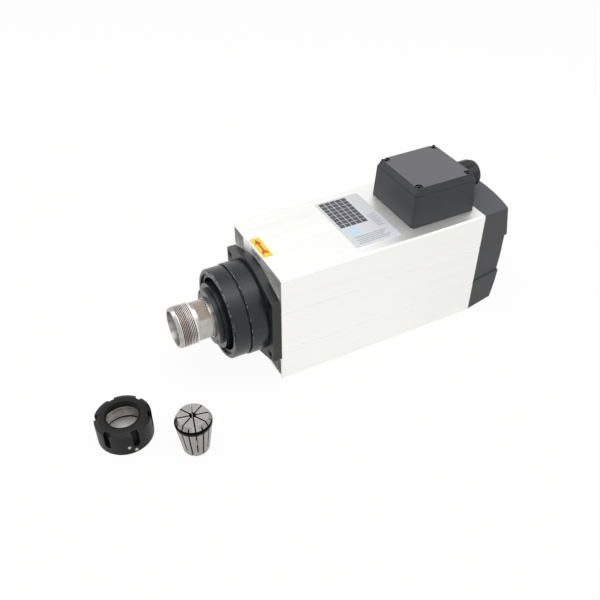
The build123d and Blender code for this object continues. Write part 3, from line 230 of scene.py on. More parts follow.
SLOT_STEP = math.pi / 4                # eight slots from each end of the collet
FRONT_SLOT = math.radians(32.0)
FRONT_SLOT_FOOT = 6.0                  # height at which the slots cut from the top end stop, mm
TAIL_SLOT_HEAD = 38.2                  # and at which those cut from the tail stop
SLOT_EDGE = 0.62                       # slot's middle plane to the end of the painted shade along its edge, mm
GROOVE_BAND = (33.4, 2.4)              # middle and half height of the painted shade band round the groove, mm
EDGE_PAINTED_SHADE = "#151413"                 # painted shade on those edges, near black


def slotted(name, dark, light):
    """Collet steel with painted shade where a point's distance from a slot's middle plane, its radius times the sine
    of the angle between them, is under SLOT_EDGE, and in the band round the groove."""
    material, tree, place, shader, tint = grained(name, dark, light, 0.8, (0.2, 0.3), 0.003, 1.0, (0.05, 0.05, 1))
    middle = (COLLET[0] * MM, COLLET[1] * MM, 0)
    local = add(tree, "ShaderNodeVectorMath", {0: (place, "Object"), 1: middle}, operation="SUBTRACT")
    parts = add(tree, "ShaderNodeSeparateXYZ", {"Vector": (local, "Vector")})
    flat_place = add(tree, "ShaderNodeVectorMath", {0: (local, "Vector"), 1: (1, 1, 0)}, operation="MULTIPLY")
    reach = add(tree, "ShaderNodeVectorMath", {0: (flat_place, "Vector")}, operation="LENGTH")
    turn = add(tree, "ShaderNodeMath", {0: (parts, "Y"), 1: (parts, "X")}, operation="ARCTAN2")
    shade = add(
        tree, "ShaderNodeMath", {0: (parts, "Z"), 1: GROOVE_BAND[0] * MM, 2: GROOVE_BAND[1] * MM}, operation="COMPARE",
    )
    for slot, test, height in (
        (FRONT_SLOT, "GREATER_THAN", FRONT_SLOT_FOOT), (FRONT_SLOT + SLOT_STEP / 2, "LESS_THAN", TAIL_SLOT_HEAD),
    ):
        away = add(tree, "ShaderNodeMath", {0: (turn, "Value"), 1: slot}, operation="SUBTRACT")
        near = add(tree, "ShaderNodeMath", {0: (away, "Value"), 1: SLOT_STEP / 2, 2: -SLOT_STEP / 2}, operation="WRAP")
        lean = add(tree, "ShaderNodeMath", {0: (near, "Value")}, operation="SINE")
        beside = add(tree, "ShaderNodeMath", {0: (lean, "Value"), 1: (reach, "Value")}, operation="MULTIPLY")
        close = add(tree, "ShaderNodeMath", {0: (beside, "Value"), 1: 0.0, 2: SLOT_EDGE * MM}, operation="COMPARE")
        within = add(tree, "ShaderNodeMath", {0: (parts, "Z"), 1: height * MM}, operation=test)
        line = add(tree, "ShaderNodeMath", {0: (close, "Value"), 1: (within, "Value")}, operation="MULTIPLY")
        shade = add(tree, "ShaderNodeMath", {0: (shade, "Value"), 1: (line, "Value")}, operation="MAXIMUM")
    edged = add(
        tree, "ShaderNodeMix", {"Factor": (shade, "Value"), MIX_A: (tint, "Color"), MIX_B: linear(EDGE_PAINTED_SHADE)},
        data_type="RGBA",
    )
    tree.links.new(edged.outputs[MIXED], shader.inputs["Base Color"])
    return material


# Spring-hard collet steel, ground on its cones round an upright axis. The slots' and the groove's edges carry painted
# shade.
COLLET_STEEL = slotted("collet_spring_steel", "#969391", "#a5a2a1")

# The collet's end faces, ground last and so a little brighter than its cones.
COLLET_END = slotted("collet_end_steel", "#adaaa8", "#bcb9b8")

# Painted shade in the collet's saw-cut slots, its groove and its bore: near black.
COLLET_PAINTED_SHADE = mottled("hardening_scale", "#0b0b0b", "#131312", 0.8, (0.55, 0.7), 0.01, specular=0.2)

# Spot-drilled steel, bare and shiny down to its cone.
DRILLED = mottled("spot_drilled_steel", "#c6c5c2", "#e2e1de", 0.6, (0.18, 0.28), 0.004, 1.0)

# Cut thread in steel: duller than the ground faces, and darker towards the roots by painted shade.
THREADED = threaded("cut_thread_steel", ("#e6e2de", "#f3efeb"), "#5f5956", (0.26, 0.38))

# The thread's first turns, which the nut has run on most: browner and darker from old oil.
OILED_THREAD = threaded("oiled_thread_steel", ("#c9c0ba", "#dcd3cc"), "#4a423e", (0.3, 0.44))

# The nut's own thread, browned over by the oil that it holds and darkened further by painted shade inside the nut.
NUT_THREAD_OIL_AND_SHADE = threaded("nut_thread_oil_and_painted_shade", ("#8b847e", "#a59d96"), "#1f1b19", (0.25, 0.36))

# Turned edge of a black part with a painted highlight in the tone of bare aluminium, broken in places by noise.
HIGHLIGHT_LOW, HIGHLIGHT_HIGH = 0.46, 0.72       # noise values between which the painted highlight comes through
EDGE_HIGHLIGHT, _, _, _, highlight_tint = grained(
    "black_edge_painted_highlight", "#1b1d20", "#8f9194", 3.2, (0.25, 0.4), 0.006, 0.4, detail=6.0,
)
highlight_tint.color_ramp.elements[0].position, highlight_tint.color_ramp.elements[1].position = HIGHLIGHT_LOW, HIGHLIGHT_HIGH

# The flange plate, milled and then anodised black: flatter and greyer than the turned faces.
MILLED_BLACK = mottled("black_anodised_milled", "#1f2023", "#27282b", 1.2, (0.34, 0.46), 0.006, 0.0, specular=0.42)

# Spark-textured moulding, glass-filled: dark grey, matt, with a fine even grain.
MOULDED = mottled("textured_black_moulding", "#282a2d", "#323337", 0.6, (0.46, 0.56), 0.03, 0.0, specular=0.4)

# The fan cover's moulding, the same texture a little worn by dust and so a shade greyer.
COVER_MOULDED = mottled("dusty_textured_moulding", "#393a3d", "#434447", 0.6, (0.5, 0.6), 0.03, 0.0, specular=0.45)

# The same on faces that look up, painted paler as painted light on the top.
COVER_TOP_PAINTED_LIGHT = mottled("dusted_upper_moulding", "#4a4b4f", "#545559", 0.6, (0.52, 0.62), 0.03, 0.0, specular=0.45)

# The lid's upper face, spark-textured deeper than the box and painted a shade paler as painted light.
LID_TOP_PAINTED_LIGHT = mottled("deep_textured_moulding", "#58585c", "#626266", 0.7, (0.5, 0.6), 0.05, 0.0)

# Moulding inside the lid's screw recesses: painted shade, blacker than the grain round it, and smooth.
RECESS_PAINTED_SHADE = mottled("smooth_black_moulding", "#0c0c0d", "#111112", 1.5, (0.3, 0.4), 0.003, 0.0, specular=0.3)

# Smooth nylon of the cable gland: near black, with a soft shine.
NYLON = mottled("gland_nylon", "#18191b", "#1f2023", 2.0, (0.32, 0.42), 0.01, 0.0, specular=0.4)

# Nitrile rubber gaskets and the gland's seal: matt and even, a little paler than the nylon.
RUBBER = mottled("nitrile_rubber", "#1b1b1c", "#232325", 0.8, (0.62, 0.75), 0.02, 0.0)

# Cast aluminium of the rear plate and the rotor's end rings: grey and dull, with the grain of its mould.
CAST = mottled("cast_aluminium", "#9fa1a3", "#b6b8ba", 1.0, (0.45, 0.6), 0.03, 1.0)

# Polished chrome steel of the bearings: almost a mirror.
BEARING = mottled("bearing_chrome_steel", "#c3c4c6", "#d4d5d6", 4.0, (0.08, 0.14), 0.001, 1.0)

# Blued spring steel: dark blue-grey with a clean shine.
SPRING = mottled("blued_spring_steel", "#33353a", "#474a50", 1.0, (0.25, 0.35), 0.003, 1.0)

# Zinc-plated screws: pale silver, softened by the plating's grain.
ZINC = mottled("zinc_plated_steel", "#b4b4b0", "#cfcfc9", 1.2, (0.25, 0.38), 0.004, 1.0)

# Electrical steel laminations, seen edge on as lines 0.5 mm apart.
LAMINATED = mottled("laminated_core_steel", "#4b4d50", "#6a6c6f", 0.5, (0.4, 0.55), 0.03, 1.0, (0.02, 1, 0.02))

# Enamelled copper wire, wound and varnished: red-brown ropes along the slots, with a glossy skin.
COPPER = mottled("enamelled_copper", "#7c3f22", "#a85c33", 0.9, (0.3, 0.45), 0.08, 1.0, (0.25, 1, 0.25))

# Brass terminal screws: warm yellow, turned bright.
BRASS = mottled("terminal_brass", "#a98543", "#c9a55c", 1.0, (0.25, 0.38), 0.004, 1.0)

# Pale phenolic of the terminal block: chalky cream.
PHENOLIC = mottled("terminal_block_phenolic", "#cfccc2", "#dbd8cf", 1.5, (0.45, 0.58), 0.01, 0.0)

# Moulded nylon of the fan: black with a dull satin.
FAN_PLASTIC = mottled("fan_nylon", "#1b1b1c", "#242425", 1.5, (0.42, 0.55), 0.01, 0.0)

# Printed films, flat and smooth, the inks duller than the film: a silver plate with dark cells, a pale blue square
# and thin grey lines, and a yellow label with a red arrow.
PLATE_SILVER = mottled("silver_plate_film", "#ccced3", "#d6d8dc", 2.0, (0.3, 0.38), 0.002, 0.0)
CELL_INK = mottled("dark_printed_ink", "#45434c", "#504e57", 1.0, (0.4, 0.5), 0.001, 0.0)
LINE_INK = mottled("grey_printed_ink", "#8f929b", "#9b9ea6", 1.0, (0.4, 0.5), 0.001, 0.0)
PALE_BLUE = mottled("pale_blue_print", "#b3d3e2", "#bfdcea", 1.0, (0.35, 0.45), 0.001, 0.0)
YELLOW = mottled("yellow_label_film", "#dccb3c", "#e4d448", 2.0, (0.35, 0.45), 0.002, 0.0)
RED = mottled("red_printed_ink", "#cc4029", "#d54a31", 1.0, (0.38, 0.46), 0.001, 0.0)

FINISHES = {
    "housing_profile": SILVER,
    "front_end_shield": TURNED_BLACK,
    "flange_screws": BLACK_OXIDE,
    "nose_collar": TURNED_BLACK,
    "retaining_ring": TURNED_BLACK,
    "front_bearing_outer_rings": BEARING,
    "front_bearing_inner_rings": BEARING,
    "front_caged_balls": BEARING,
    "outer_spacer": GROUND,
    "inner_spacer": GROUND,
    "bearing_lock_nut": BLACK_OXIDE,
    "spindle_shaft": GROUND,
    "stator_core": LAMINATED,
    "stator_winding": COPPER,
    "rotor_core": LAMINATED,
    "rotor_end_rings": CAST,
    "rear_bearing_plate": CAST,
    "rear_bearing_outer_ring": BEARING,
    "rear_bearing_inner_ring": BEARING,
    "rear_caged_balls": BEARING,
    "preload_spring": SPRING,
    "bearing_circlip": SPRING,
    "cooling_fan": FAN_PLASTIC,
    "fan_circlip": SPRING,
    "rear_cover": COVER_MOULDED,
    "rear_cover_screws": BLACK_OXIDE,
    "box_gasket": RUBBER,
    "terminal_box": MOULDED,
    "lid_gasket": RUBBER,
    "box_screws": ZINC,
    "terminal_lid": MOULDED,
    "lid_screws": SCREW_PAINTED_HIGHLIGHT,
    "terminal_block": PHENOLIC,
    "terminal_screws": BRASS,
    "gland_body": NYLON,
    "gland_locknut": NYLON,
    "gland_nut": NYLON,
    "gland_seal": RUBBER,
    "collet_nut": BLACK_OXIDE,
    # The pressure ring, seen inside the nut's mouth, takes painted shade.
    "pressure_ring": PAINTED_SHADE_OXIDE,
    "collet": COLLET_STEEL,
}
for node_name, finish in FINISHES.items():
    held = frame["nodes"][node_name].data.materials
    held.clear()
    held.append(finish)


# ------------------------------------------------------------------ making pieces
def piece(name, points, faces, material, body, slot=None, smooth=False):
    """A mesh of points in millimetres and faces of point numbers, riding on a body."""
    mesh = bpy.data.meshes.new(name)
    mesh.from_pydata((np.asarray(points, float) * MM).tolist(), [], [tuple(f) for f in faces])
    mesh.update()
    mesh.materials.append(material)
    mesh.polygons.foreach_set("use_smooth", np.full(len(mesh.polygons), smooth))
    made = bpy.data.objects.new(name, mesh)
    bpy.context.scene.collection.objects.link(made)
    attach(made, body)
    return made


def grid_faces(rows, columns):
    """Quads between neighbouring rows and columns of a grid, the last column joined to the first: point number
    row times columns plus column, its neighbour's, and both plus columns."""
    r, c = np.meshgrid(np.arange(rows - 1), np.arange(columns), indexing="ij")
    a = r * columns + c
    b = r * columns + (c + 1) % columns
    return np.stack([a, b, b + columns, a + columns], -1).reshape(-1, 4)


def slab(outline, low, high):
    """A flat prism: the outline's points at height low and again at height high, closed by two caps and a wall."""
    flat = np.asarray(outline, float)
    n = len(flat)
    points = np.vstack([np.column_stack([flat, np.full(n, low)]), np.column_stack([flat, np.full(n, high)])])
    ring = np.arange(n)
    wall = np.stack([ring, (ring + 1) % n, (ring + 1) % n + n, ring + n], -1).tolist()
    return points, [ring[::-1].tolist(), (ring + n).tolist()] + wall


def rounded(x_from, x_to, y_from, y_to, radius, steps=6):
    """A rectangle with round corners: each corner's centre plus radius times (cos, sin) over its quarter turn."""
    quarter = np.linspace(0, math.pi / 2, steps)
    centres = [
        (x_to - radius, y_to - radius), (x_from + radius, y_to - radius),
        (x_from + radius, y_from + radius), (x_to - radius, y_from + radius),
    ]
    return np.vstack([
        np.column_stack([
            cx + radius * np.cos(quarter + k * math.pi / 2), cy + radius * np.sin(quarter + k * math.pi / 2)
        ])
        for k, (cx, cy) in enumerate(centres)
    ])


def slabs(outlines, low, high):
    """Several prisms in one mesh, each one's point numbers counted on from those before it."""
    points, faces, start = [], [], 0
    for outline in outlines:
        p, f = slab(outline, low, high)
        points.append(p)
        faces += [start + np.asarray(face) for face in f]
        start += len(p)
    return np.vstack(points), faces


# ------------------------------------------------------------------ threads
THREAD_PITCH = 1.5
THREAD_DEPTH = 0.92
THREAD_GAIN, THREAD_CREST = 1.25, 0.12     # the flanks' steepness, and how much of the wave the crest cuts off
THREAD_COLUMNS = 180
THREAD_ROWS = 12                           # rows of points per pitch
PAST_END = 0.1                             # how far past a thread's ends its cylinder is left out


def thread_groove(turns):
    """Depth share of a 60 degree thread: a triangle wave of the turns, cut flat at crest and root."""
    wave = 1 - np.abs(2 * (turns % 1) - 1)
    return np.clip(THREAD_GAIN * wave - THREAD_CREST, 0, 1)


def thread_surface(crest, from_s, to_s, sign):
    """Radius crest plus sign times groove(s / pitch + angle / turn) times depth, faded to none at both ends."""
    rows = int((to_s - from_s) / THREAD_PITCH * THREAD_ROWS) + 1
    s = np.linspace(from_s, to_s, rows)[:, None]
    angle = np.linspace(0, 2 * math.pi, THREAD_COLUMNS, endpoint=False)[None, :]
    fade = np.clip(np.minimum(s - from_s, to_s - s) / THREAD_PITCH, 0, 1)
    cut = thread_groove(s / THREAD_PITCH + angle / (2 * math.pi)) * THREAD_DEPTH * fade
    radius = crest + sign * cut
    quads = grid_faces(rows, THREAD_COLUMNS)[:, ::-1]
    return radius * np.cos(angle), radius * np.sin(angle), s + 0 * angle, cut, quads


def mark_depth(made, cut):
    """Keeps how deep each point lies in the groove, as a share of the full depth, for the thread's finish."""
    made.data.attributes.new("groove_depth", "FLOAT", "POINT").data.foreach_set(
        "value", (cut / THREAD_DEPTH).reshape(-1).astype(np.float32)
    )


def round_y(p):
    """Distance of points from the spindle axis."""
    return np.hypot(p[..., 0], p[..., 2] - AXIS_Z)


def round_z(p, centre):
    """Distance of points from an upright axis through centre."""
    return np.hypot(p[..., 0] - centre[0], p[..., 1] - centre[1])


HARD_EDGE = math.radians(30)
LEAST_CROSS = 1e-9         # twice the area of the smallest face that is kept


def dressed_copy(node_name, name, finishes, choose, drop=None):
    """A welded copy of a node's mesh of triangles that stands for the node. Each face's normal is the cross product
    of two of its sides, and choose(middle, normal) gives the number of its finish. Faces whose every corner drop()
    names are left out, and edges bent by more than HARD_EDGE stay hard."""
    source = frame["nodes"][node_name]
    co = np.zeros(len(source.data.vertices) * 3, np.float32)
    source.data.vertices.foreach_get("co", co)
    unique, index = np.unique(np.round(co.reshape(-1, 3).astype(float) / MM, 4), axis=0, return_inverse=True)
    corner_index = np.zeros(len(source.data.loops), np.int32)
    source.data.loops.foreach_get("vertex_index", corner_index)
    faces = index.reshape(-1)[corner_index.reshape(-1, 3)]
    if drop:
        faces = faces[~drop(unique[faces]).all(1)]
    corner = unique[faces]
    cross = np.cross(corner[:, 1] - corner[:, 0], corner[:, 2] - corner[:, 0])
    size = np.linalg.norm(cross, axis=1)
    kept = size > LEAST_CROSS
    middle, normal = corner[kept].mean(1), cross[kept] / size[kept, None]
    made = piece(name, unique, faces[kept], finishes[0], source["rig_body"], smooth=True)
    for finish in finishes[1:]:
        made.data.materials.append(finish)
    made.data.polygons.foreach_set("material_index", choose(middle, normal).astype(np.int32))
    made.data.set_sharp_from_angle(angle=HARD_EDGE)
    made.data.validate()
    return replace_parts(made, node_name)


# ------------------------------------------------------------------ spindle shaft and its thread
FLAT_ANGLE = math.radians(70.5)    # from +X towards +Z, the way that the upper spanner flat faces
FLATS_FROM, FLATS_TO, FLATS_R = -177.0, -163.0, 15.0      # the flats' ends, and a radius that they lie outside
MOUTH_END, MOUTH_FACE = -150.0, -196.7                    # how deep the open taper is seen, and its end face
FLAT_FACING = 0.999        # share of a normal that points the flats' way
INWARD = 0.5               # share of a normal that points to the axis
NOSE_R = 20.0
THREAD_FROM, THREAD_TO = -194.5, -179.0
OIL_LINE, OIL_WAVE, OIL_WAVES = -186.3, 0.25, 3           # where the old oil ends, and its wavering


def shaft_finish(middle, normal):
    """1 on the spanner flats, which carry a painted reflection, 2 on the mouth's end face and inside it where faces
    look to the axis, 0 elsewhere.
    """
    across = normal[:, 0] * math.cos(FLAT_ANGLE) + normal[:, 2] * math.sin(FLAT_ANGLE)
    y, r = middle[:, 1], round_y(middle)
    flat = (np.abs(across) > FLAT_FACING) & (y > FLATS_FROM) & (y < FLATS_TO) & (r > FLATS_R)
    inward = (normal[:, 0] * middle[:, 0] + normal[:, 2] * (middle[:, 2] - AXIS_Z)) < -INWARD * r
    mouth = (inward & (y < MOUTH_END)) | (y < MOUTH_FACE)
    return np.where(flat, 1, np.where(mouth, 2, 0))


shaft = dressed_copy(
    "spindle_shaft", "spindle_shaft_body", [GROUND, FLAT_PAINTED_REFLECTION, BORED], shaft_finish,
    lambda p: (
        (np.abs(round_y(p) - NOSE_R) < ON_WALL)
        & (p[..., 1] > THREAD_FROM - PAST_END) & (p[..., 1] < THREAD_TO + PAST_END)
    ),
)
tx, tz, ty, cut, thread_quads = thread_surface(NOSE_R, THREAD_FROM, THREAD_TO, -1)
nose_thread = piece(
    "nose_thread", np.stack([tx, ty, tz + AXIS_Z], -1).reshape(-1, 3), thread_quads,
    THREADED, "rotor", "ground_steel", smooth=True,
)
# The turns next to the mouth carry old oil, up to a wavering line.
nose_thread.data.materials.append(OILED_THREAD)
mark_depth(nose_thread, cut)
face_y = ty[:-1].reshape(-1)
face_turn = np.arctan2(tz, tx)[:-1].reshape(-1)
oil_and_shade = face_y < OIL_LINE + OIL_WAVE * np.sin(OIL_WAVES * face_turn)
nose_thread.data.polygons.foreach_set("material_index", oil_and_shade.astype(np.int32))

# ------------------------------------------------------------------ collet nut
DRILLINGS = ((-8.0, 8.6), (5.0, 3.8))     # angle round the nut in degrees, height in mm
DRILLING_R = 1.65
DRILLING_REACH = (23.0, 24.9)             # distances from the nut's axis
NUT_MINOR_R = 19.2
NUT_THREAD_FROM, NUT_THREAD_END = 0.6, 14.2
SLOT_REACH = (21.3, 24.85)                # the spanner slots' distances from the nut's axis, and their heights
SLOT_HEIGHTS = (7.4, 24.3)
BEVEL_FOOT = 22.6                         # where the nut's bevel starts


def nut_finish(middle, normal):
    """1 in the six spanner slots, whose faces lie inside the rim and take painted shade, 2 in the drillings, 0
    elsewhere.
    """
    r, z = round_z(middle, NUT), middle[:, 2]
    inside = (r > SLOT_REACH[0]) & (r < SLOT_REACH[1]) & (z > SLOT_HEIGHTS[0]) & (z < SLOT_HEIGHTS[1])
    slot = inside & (normal[:, 2] < LOOKS_UP) & ((z < BEVEL_FOOT) | (np.abs(normal[:, 2]) < UPRIGHT))
    drilled = np.zeros(len(r), bool)
    for angle, height in DRILLINGS:
        out = np.array([math.cos(math.radians(angle)), math.sin(math.radians(angle)), 0])
        away = middle - np.array([NUT[0], NUT[1], height])
        along = away @ out
        across = np.linalg.norm(away - along[:, None] * out, axis=1)
        in_reach = (along > DRILLING_REACH[0]) & (along < DRILLING_REACH[1])
        drilled |= in_reach & (across < DRILLING_R) & (np.abs(z - height) < DRILLING_R)
    return np.where(drilled, 2, np.where(slot, 1, 0))


nut = dressed_copy(
    "collet_nut", "collet_nut_body", [BLACK_OXIDE, PAINTED_SHADE_OXIDE, DRILLED], nut_finish,
    lambda p: (np.abs(round_z(p, NUT) - NUT_MINOR_R) < ON_WALL) & (p[..., 2] < NUT_THREAD_END + PAST_END),
)
tx, ty, tz, cut, thread_quads = thread_surface(NUT_MINOR_R, NUT_THREAD_FROM, NUT_THREAD_END, 1)
# The nut's thread is darkened by painted shade as well as by oil.
nut_thread = piece(
    "nut_thread", np.stack([tx + NUT[0], ty + NUT[1], tz], -1).reshape(-1, 3), thread_quads,
    NUT_THREAD_OIL_AND_SHADE, "clamping_nut", "ground_steel", smooth=True,
)
mark_depth(nut_thread, cut)
# The thread's first turn, where the nut is started on the nose, takes painted shade: black like the rest of the nut.
nut_thread.data.materials.append(PAINTED_SHADE_OXIDE)
nut_thread.data.polygons.foreach_set("material_index", (tz[:-1].reshape(-1) < THREAD_PITCH).astype(np.int32))

# ------------------------------------------------------------------ collet
GROOVE_LOW, GROOVE_HIGH = 33.2, 35.0
END_SLACK = 0.1
CONE_FACING = 0.6          # least share of a normal that points outwards on the cones


def collet_finish(middle, normal):
    """0 on the outer cones, 2 on the two end faces, 1, painted shade, on slot walls, in the groove and in the bore."""
    r, z = round_z(middle, COLLET), middle[:, 2]
    outward = (normal[:, 0] * (middle[:, 0] - COLLET[0]) + normal[:, 1] * (middle[:, 1] - COLLET[1])) / r
    ends = ((z > COLLET_H - END_SLACK) & (normal[:, 2] > LEVEL)) | ((z < END_SLACK) & (normal[:, 2] < -LEVEL))
    groove = (z > GROOVE_LOW - NEAR) & (z < GROOVE_HIGH + NEAR)
    return np.where(ends, 2, np.where((outward > CONE_FACING) & ~groove, 0, 1))


collet = dressed_copy("collet", "collet_body", [COLLET_STEEL, COLLET_PAINTED_SHADE, COLLET_END], collet_finish)

# ------------------------------------------------------------------ black collars with painted edge highlights
FLANGE_FRONT = -119.5
RIM_R = 42.0               # the collars' bevelled rims lie outside it
RIM_LEAN = (0.3, 0.95)     # share of a bevel's normal along the axis


def collar_finish(middle, normal):
    """1 on the narrow bevels round the rims, whose normals lie between the axis and the radius and which take a
    painted highlight, 2 on the flange plate behind FLANGE_FRONT, 0 elsewhere."""
    lean = np.abs(normal[:, 1])
    bevel = (lean > RIM_LEAN[0]) & (lean < RIM_LEAN[1]) & (round_y(middle) > RIM_R)
    return np.where(middle[:, 1] > FLANGE_FRONT - NEAR, 2, np.where(bevel, 1, 0))


for collar_node in ("nose_collar", "front_end_shield"):
    collar = dressed_copy(collar_node, collar_node + "_body", [TURNED_BLACK, EDGE_HIGHLIGHT, MILLED_BLACK], collar_finish)

# ------------------------------------------------------------------ lid of the terminal box
LID_MIDDLE = (1.0, 71.0)
LID_SCREW_D = 28.0        # middle of the lid to its screws, along X and along Y
RECESS_R = 4.25
LID_EDGE, BOX_EDGE = 0.7, 0.6              # widths over which the mouldings' edges are rounded
MOULD_SEGMENTS, MOULD_ANGLE, FLAT_WITHIN = 3, math.radians(35), math.radians(0.6)
screw_low, screw_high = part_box("lid_screws")
SCREW_FOOT, SCREW_TOP = screw_low.z / MM, screw_high.z / MM
SCREW_HEAD_R = (screw_high.x - screw_low.x) / MM / 2 - LID_SCREW_D
SCREW_HEAD_H = 2.6
SCREW_SHANK_R = 2.0
HEX_HALF, HEX_DEPTH = 1.5, 2.4             # socket: half its width across flats, and its depth
HEX_EDGE, HEX_POINT = 0.25, 0.6            # socket: bevel at its mouth, and the drill point under it
HEAD_EDGE = 0.4                            # rounding round the head's top
AXIS_R = 0.001                             # radius of the rows that close the grid on its axis
SOCKET_SHADE_DEPTHS, SOCKET_SHADE_R = (0.3, 3.2), 1.9    # socket faces that take painted shade: their depth under the top, and their reach
SCREW_COLUMNS, EDGE_ROWS = 48, 5


def lid_finish(middle, normal):
    """1 in the four screw recesses, painted shade, 2 on the upper face, painted a shade paler as painted light, 0 on
    the sloping sides and beneath.
    """
    reach = np.abs(middle[:, :2] - np.array(LID_MIDDLE)) - LID_SCREW_D
    recess = (np.hypot(reach[:, 0], reach[:, 1]) < RECESS_R) & (middle[:, 2] < LID_TOP - NEAR)
    upper = (middle[:, 2] > LID_TOP - NEAR) & (normal[:, 2] > LEVEL)
    return np.where(recess, 1, np.where(upper, 2, 0))


def softened(made, width):
    """Rounds the hard edges of a moulded piece over a width in millimetres, as its mould's corners would. The flat
    faces are joined first, so that their own triangles don't hold the rounding back."""
    joined = made.modifiers.new("flat_faces", "DECIMATE")
    joined.decimate_type = "DISSOLVE"
    joined.angle_limit = FLAT_WITHIN
    joined.delimit = {"MATERIAL"}
    bevel = made.modifiers.new("mould_edges", "BEVEL")
    bevel.width = width * MM
    bevel.segments = MOULD_SEGMENTS
    bevel.limit_method = "ANGLE"
    bevel.angle_limit = MOULD_ANGLE


lid = dressed_copy("terminal_lid", "terminal_lid_body", [MOULDED, RECESS_PAINTED_SHADE, LID_TOP_PAINTED_LIGHT], lid_finish)
softened(lid, LID_EDGE)


def ring_rows(rows, turn):
    """Points on a ring for each (radius, height) of rows: radius times (cos, sin) of the turn, at the height."""
    return np.array([[r * np.cos(turn), r * np.sin(turn), z + 0 * turn] for r, z in rows])


def socket_heads(centres):
    """Socket screws in one grid each, its rows a profile from the shank's foot over the head and down the socket.

    A row's radius is its own value, or in the socket the distance to a hexagon's side: half the width across flats
    over the cosine of the angle from the middle of that side. Its height is the profile's."""
    turn = np.linspace(0, 2 * math.pi, SCREW_COLUMNS, endpoint=False)
    side = HEX_HALF / np.cos((turn + math.pi / 6) % (math.pi / 3) - math.pi / 6)
    shoulder = SCREW_TOP - SCREW_HEAD_H
    bend = np.linspace(0, math.pi / 2, EDGE_ROWS)
    outside = [(AXIS_R, SCREW_FOOT), (SCREW_SHANK_R, SCREW_FOOT), (SCREW_SHANK_R, shoulder), (SCREW_HEAD_R, shoulder)]
    outside += [
        (SCREW_HEAD_R - HEAD_EDGE + HEAD_EDGE * math.cos(a), SCREW_TOP - HEAD_EDGE + HEAD_EDGE * math.sin(a))
        for a in bend
    ]
    socket = [
        (side + HEX_EDGE, SCREW_TOP), (side, SCREW_TOP - HEX_EDGE), (side, SCREW_TOP - HEX_DEPTH),
        (AXIS_R * side, SCREW_TOP - HEX_DEPTH - HEX_POINT),
    ]
    grid = np.moveaxis(np.concatenate([ring_rows(outside, turn), ring_rows(socket, turn)]), 1, 2)
    quads = grid_faces(len(grid), len(turn))
    one = grid.reshape(-1, 3)
    points = np.vstack([one + np.array([x, y, 0.0]) for x, y in centres])
    faces = np.vstack([quads + k * len(one) for k in range(len(centres))])
    return points, faces


screw_places = [
    (LID_MIDDLE[0] + dx * LID_SCREW_D, LID_MIDDLE[1] + dy * LID_SCREW_D) for dx in (-1, 1) for dy in (-1, 1)
]
screw_points, screw_faces = socket_heads(screw_places)
# The screw heads take a painted highlight, and their sockets painted shade.
lid_screws = piece("lid_screw_bodies", screw_points, screw_faces, SCREW_PAINTED_HIGHLIGHT, "motor", "black_oxide", smooth=True)
lid_screws.data.set_sharp_from_angle(angle=HARD_EDGE)
lid_screws.data.materials.append(PAINTED_SHADE_OXIDE)
# Painted shade deep in the sockets.
face_middle = screw_points[screw_faces].mean(1)
from_screw = np.hypot(*(np.abs(face_middle[:, :2] - np.array(LID_MIDDLE)) - LID_SCREW_D).T)
oil_and_shade = (face_middle[:, 2] < SCREW_TOP - SOCKET_SHADE_DEPTHS[0]) & (face_middle[:, 2] > SCREW_TOP - SOCKET_SHADE_DEPTHS[1])
lid_screws.data.polygons.foreach_set("material_index", (oil_and_shade & (from_screw < SOCKET_SHADE_R)).astype(np.int32))
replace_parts(lid_screws, "lid_screws")


def moulded_finish(_, normal):
    """1 on faces that look up, which the rear cover paints paler as painted light, 0 elsewhere."""
    return np.where(normal[:, 2] > LOOKS_UP, 1, 0)


for node_name, upper in (("terminal_box", MOULDED), ("rear_cover", COVER_TOP_PAINTED_LIGHT)):
    moulded = dressed_copy(node_name, node_name + "_body", [FINISHES[node_name], upper], moulded_finish)
    softened(moulded, BOX_EDGE)

# ------------------------------------------------------------------ plate and label on the housing's top
# Places on the top are given as x from, x to, y from, y to.
PLATE_T = 0.15
INK_T = 0.03
plate_top = TOP_Z + PLATE_T
ink_top = plate_top + INK_T
PLATE, PLATE_CORNER = (-42, 39.5, -28, 21), 1.5
CELLS, CELL_COLUMNS, CELL_ROWS = (-40, 6, -25, 5.5), 5, 8
CELL_GAP_X, CELL_GAP_Y = 0.25, 0.3         # half the gap between neighbouring cells
SQUARE, SQUARE_CORNER = (8, 20.5, -20.5, -10), 0.6
INK_CORNER, INK_STEPS = 0.2, 3
LABEL, LABEL_CORNER = (-17.6, 13.7, -109.6, -99.9), 0.8
ARROW = [
    (-15.3, -104.7), (-7.6, -108.0), (-7.9, -105.7), (3.4, -105.7), (5.4, -107.8), (9.6, -107.5),
    (6.6, -104.7), (9.6, -101.9), (5.4, -101.6), (3.4, -103.7), (-7.9, -103.7), (-7.6, -101.4),
]

piece("rating_plate", *slab(rounded(*PLATE, PLATE_CORNER), TOP_Z, plate_top), PLATE_SILVER, "motor")

x_edges = np.linspace(CELLS[0], CELLS[1], CELL_ROWS + 1)
y_edges = np.linspace(CELLS[2], CELLS[3], CELL_COLUMNS + 1)
cells = [
    rounded(
        x_edges[i] + CELL_GAP_X, x_edges[i + 1] - CELL_GAP_X, y_edges[j] + CELL_GAP_Y, y_edges[j + 1] - CELL_GAP_Y,
        INK_CORNER, INK_STEPS,
    )
    for i in range(CELL_ROWS) for j in range(CELL_COLUMNS)
]
piece("plate_cells", *slabs(cells, plate_top, ink_top), CELL_INK, "motor")
piece("plate_square", *slab(rounded(*SQUARE, SQUARE_CORNER), plate_top, ink_top), PALE_BLUE, "motor")

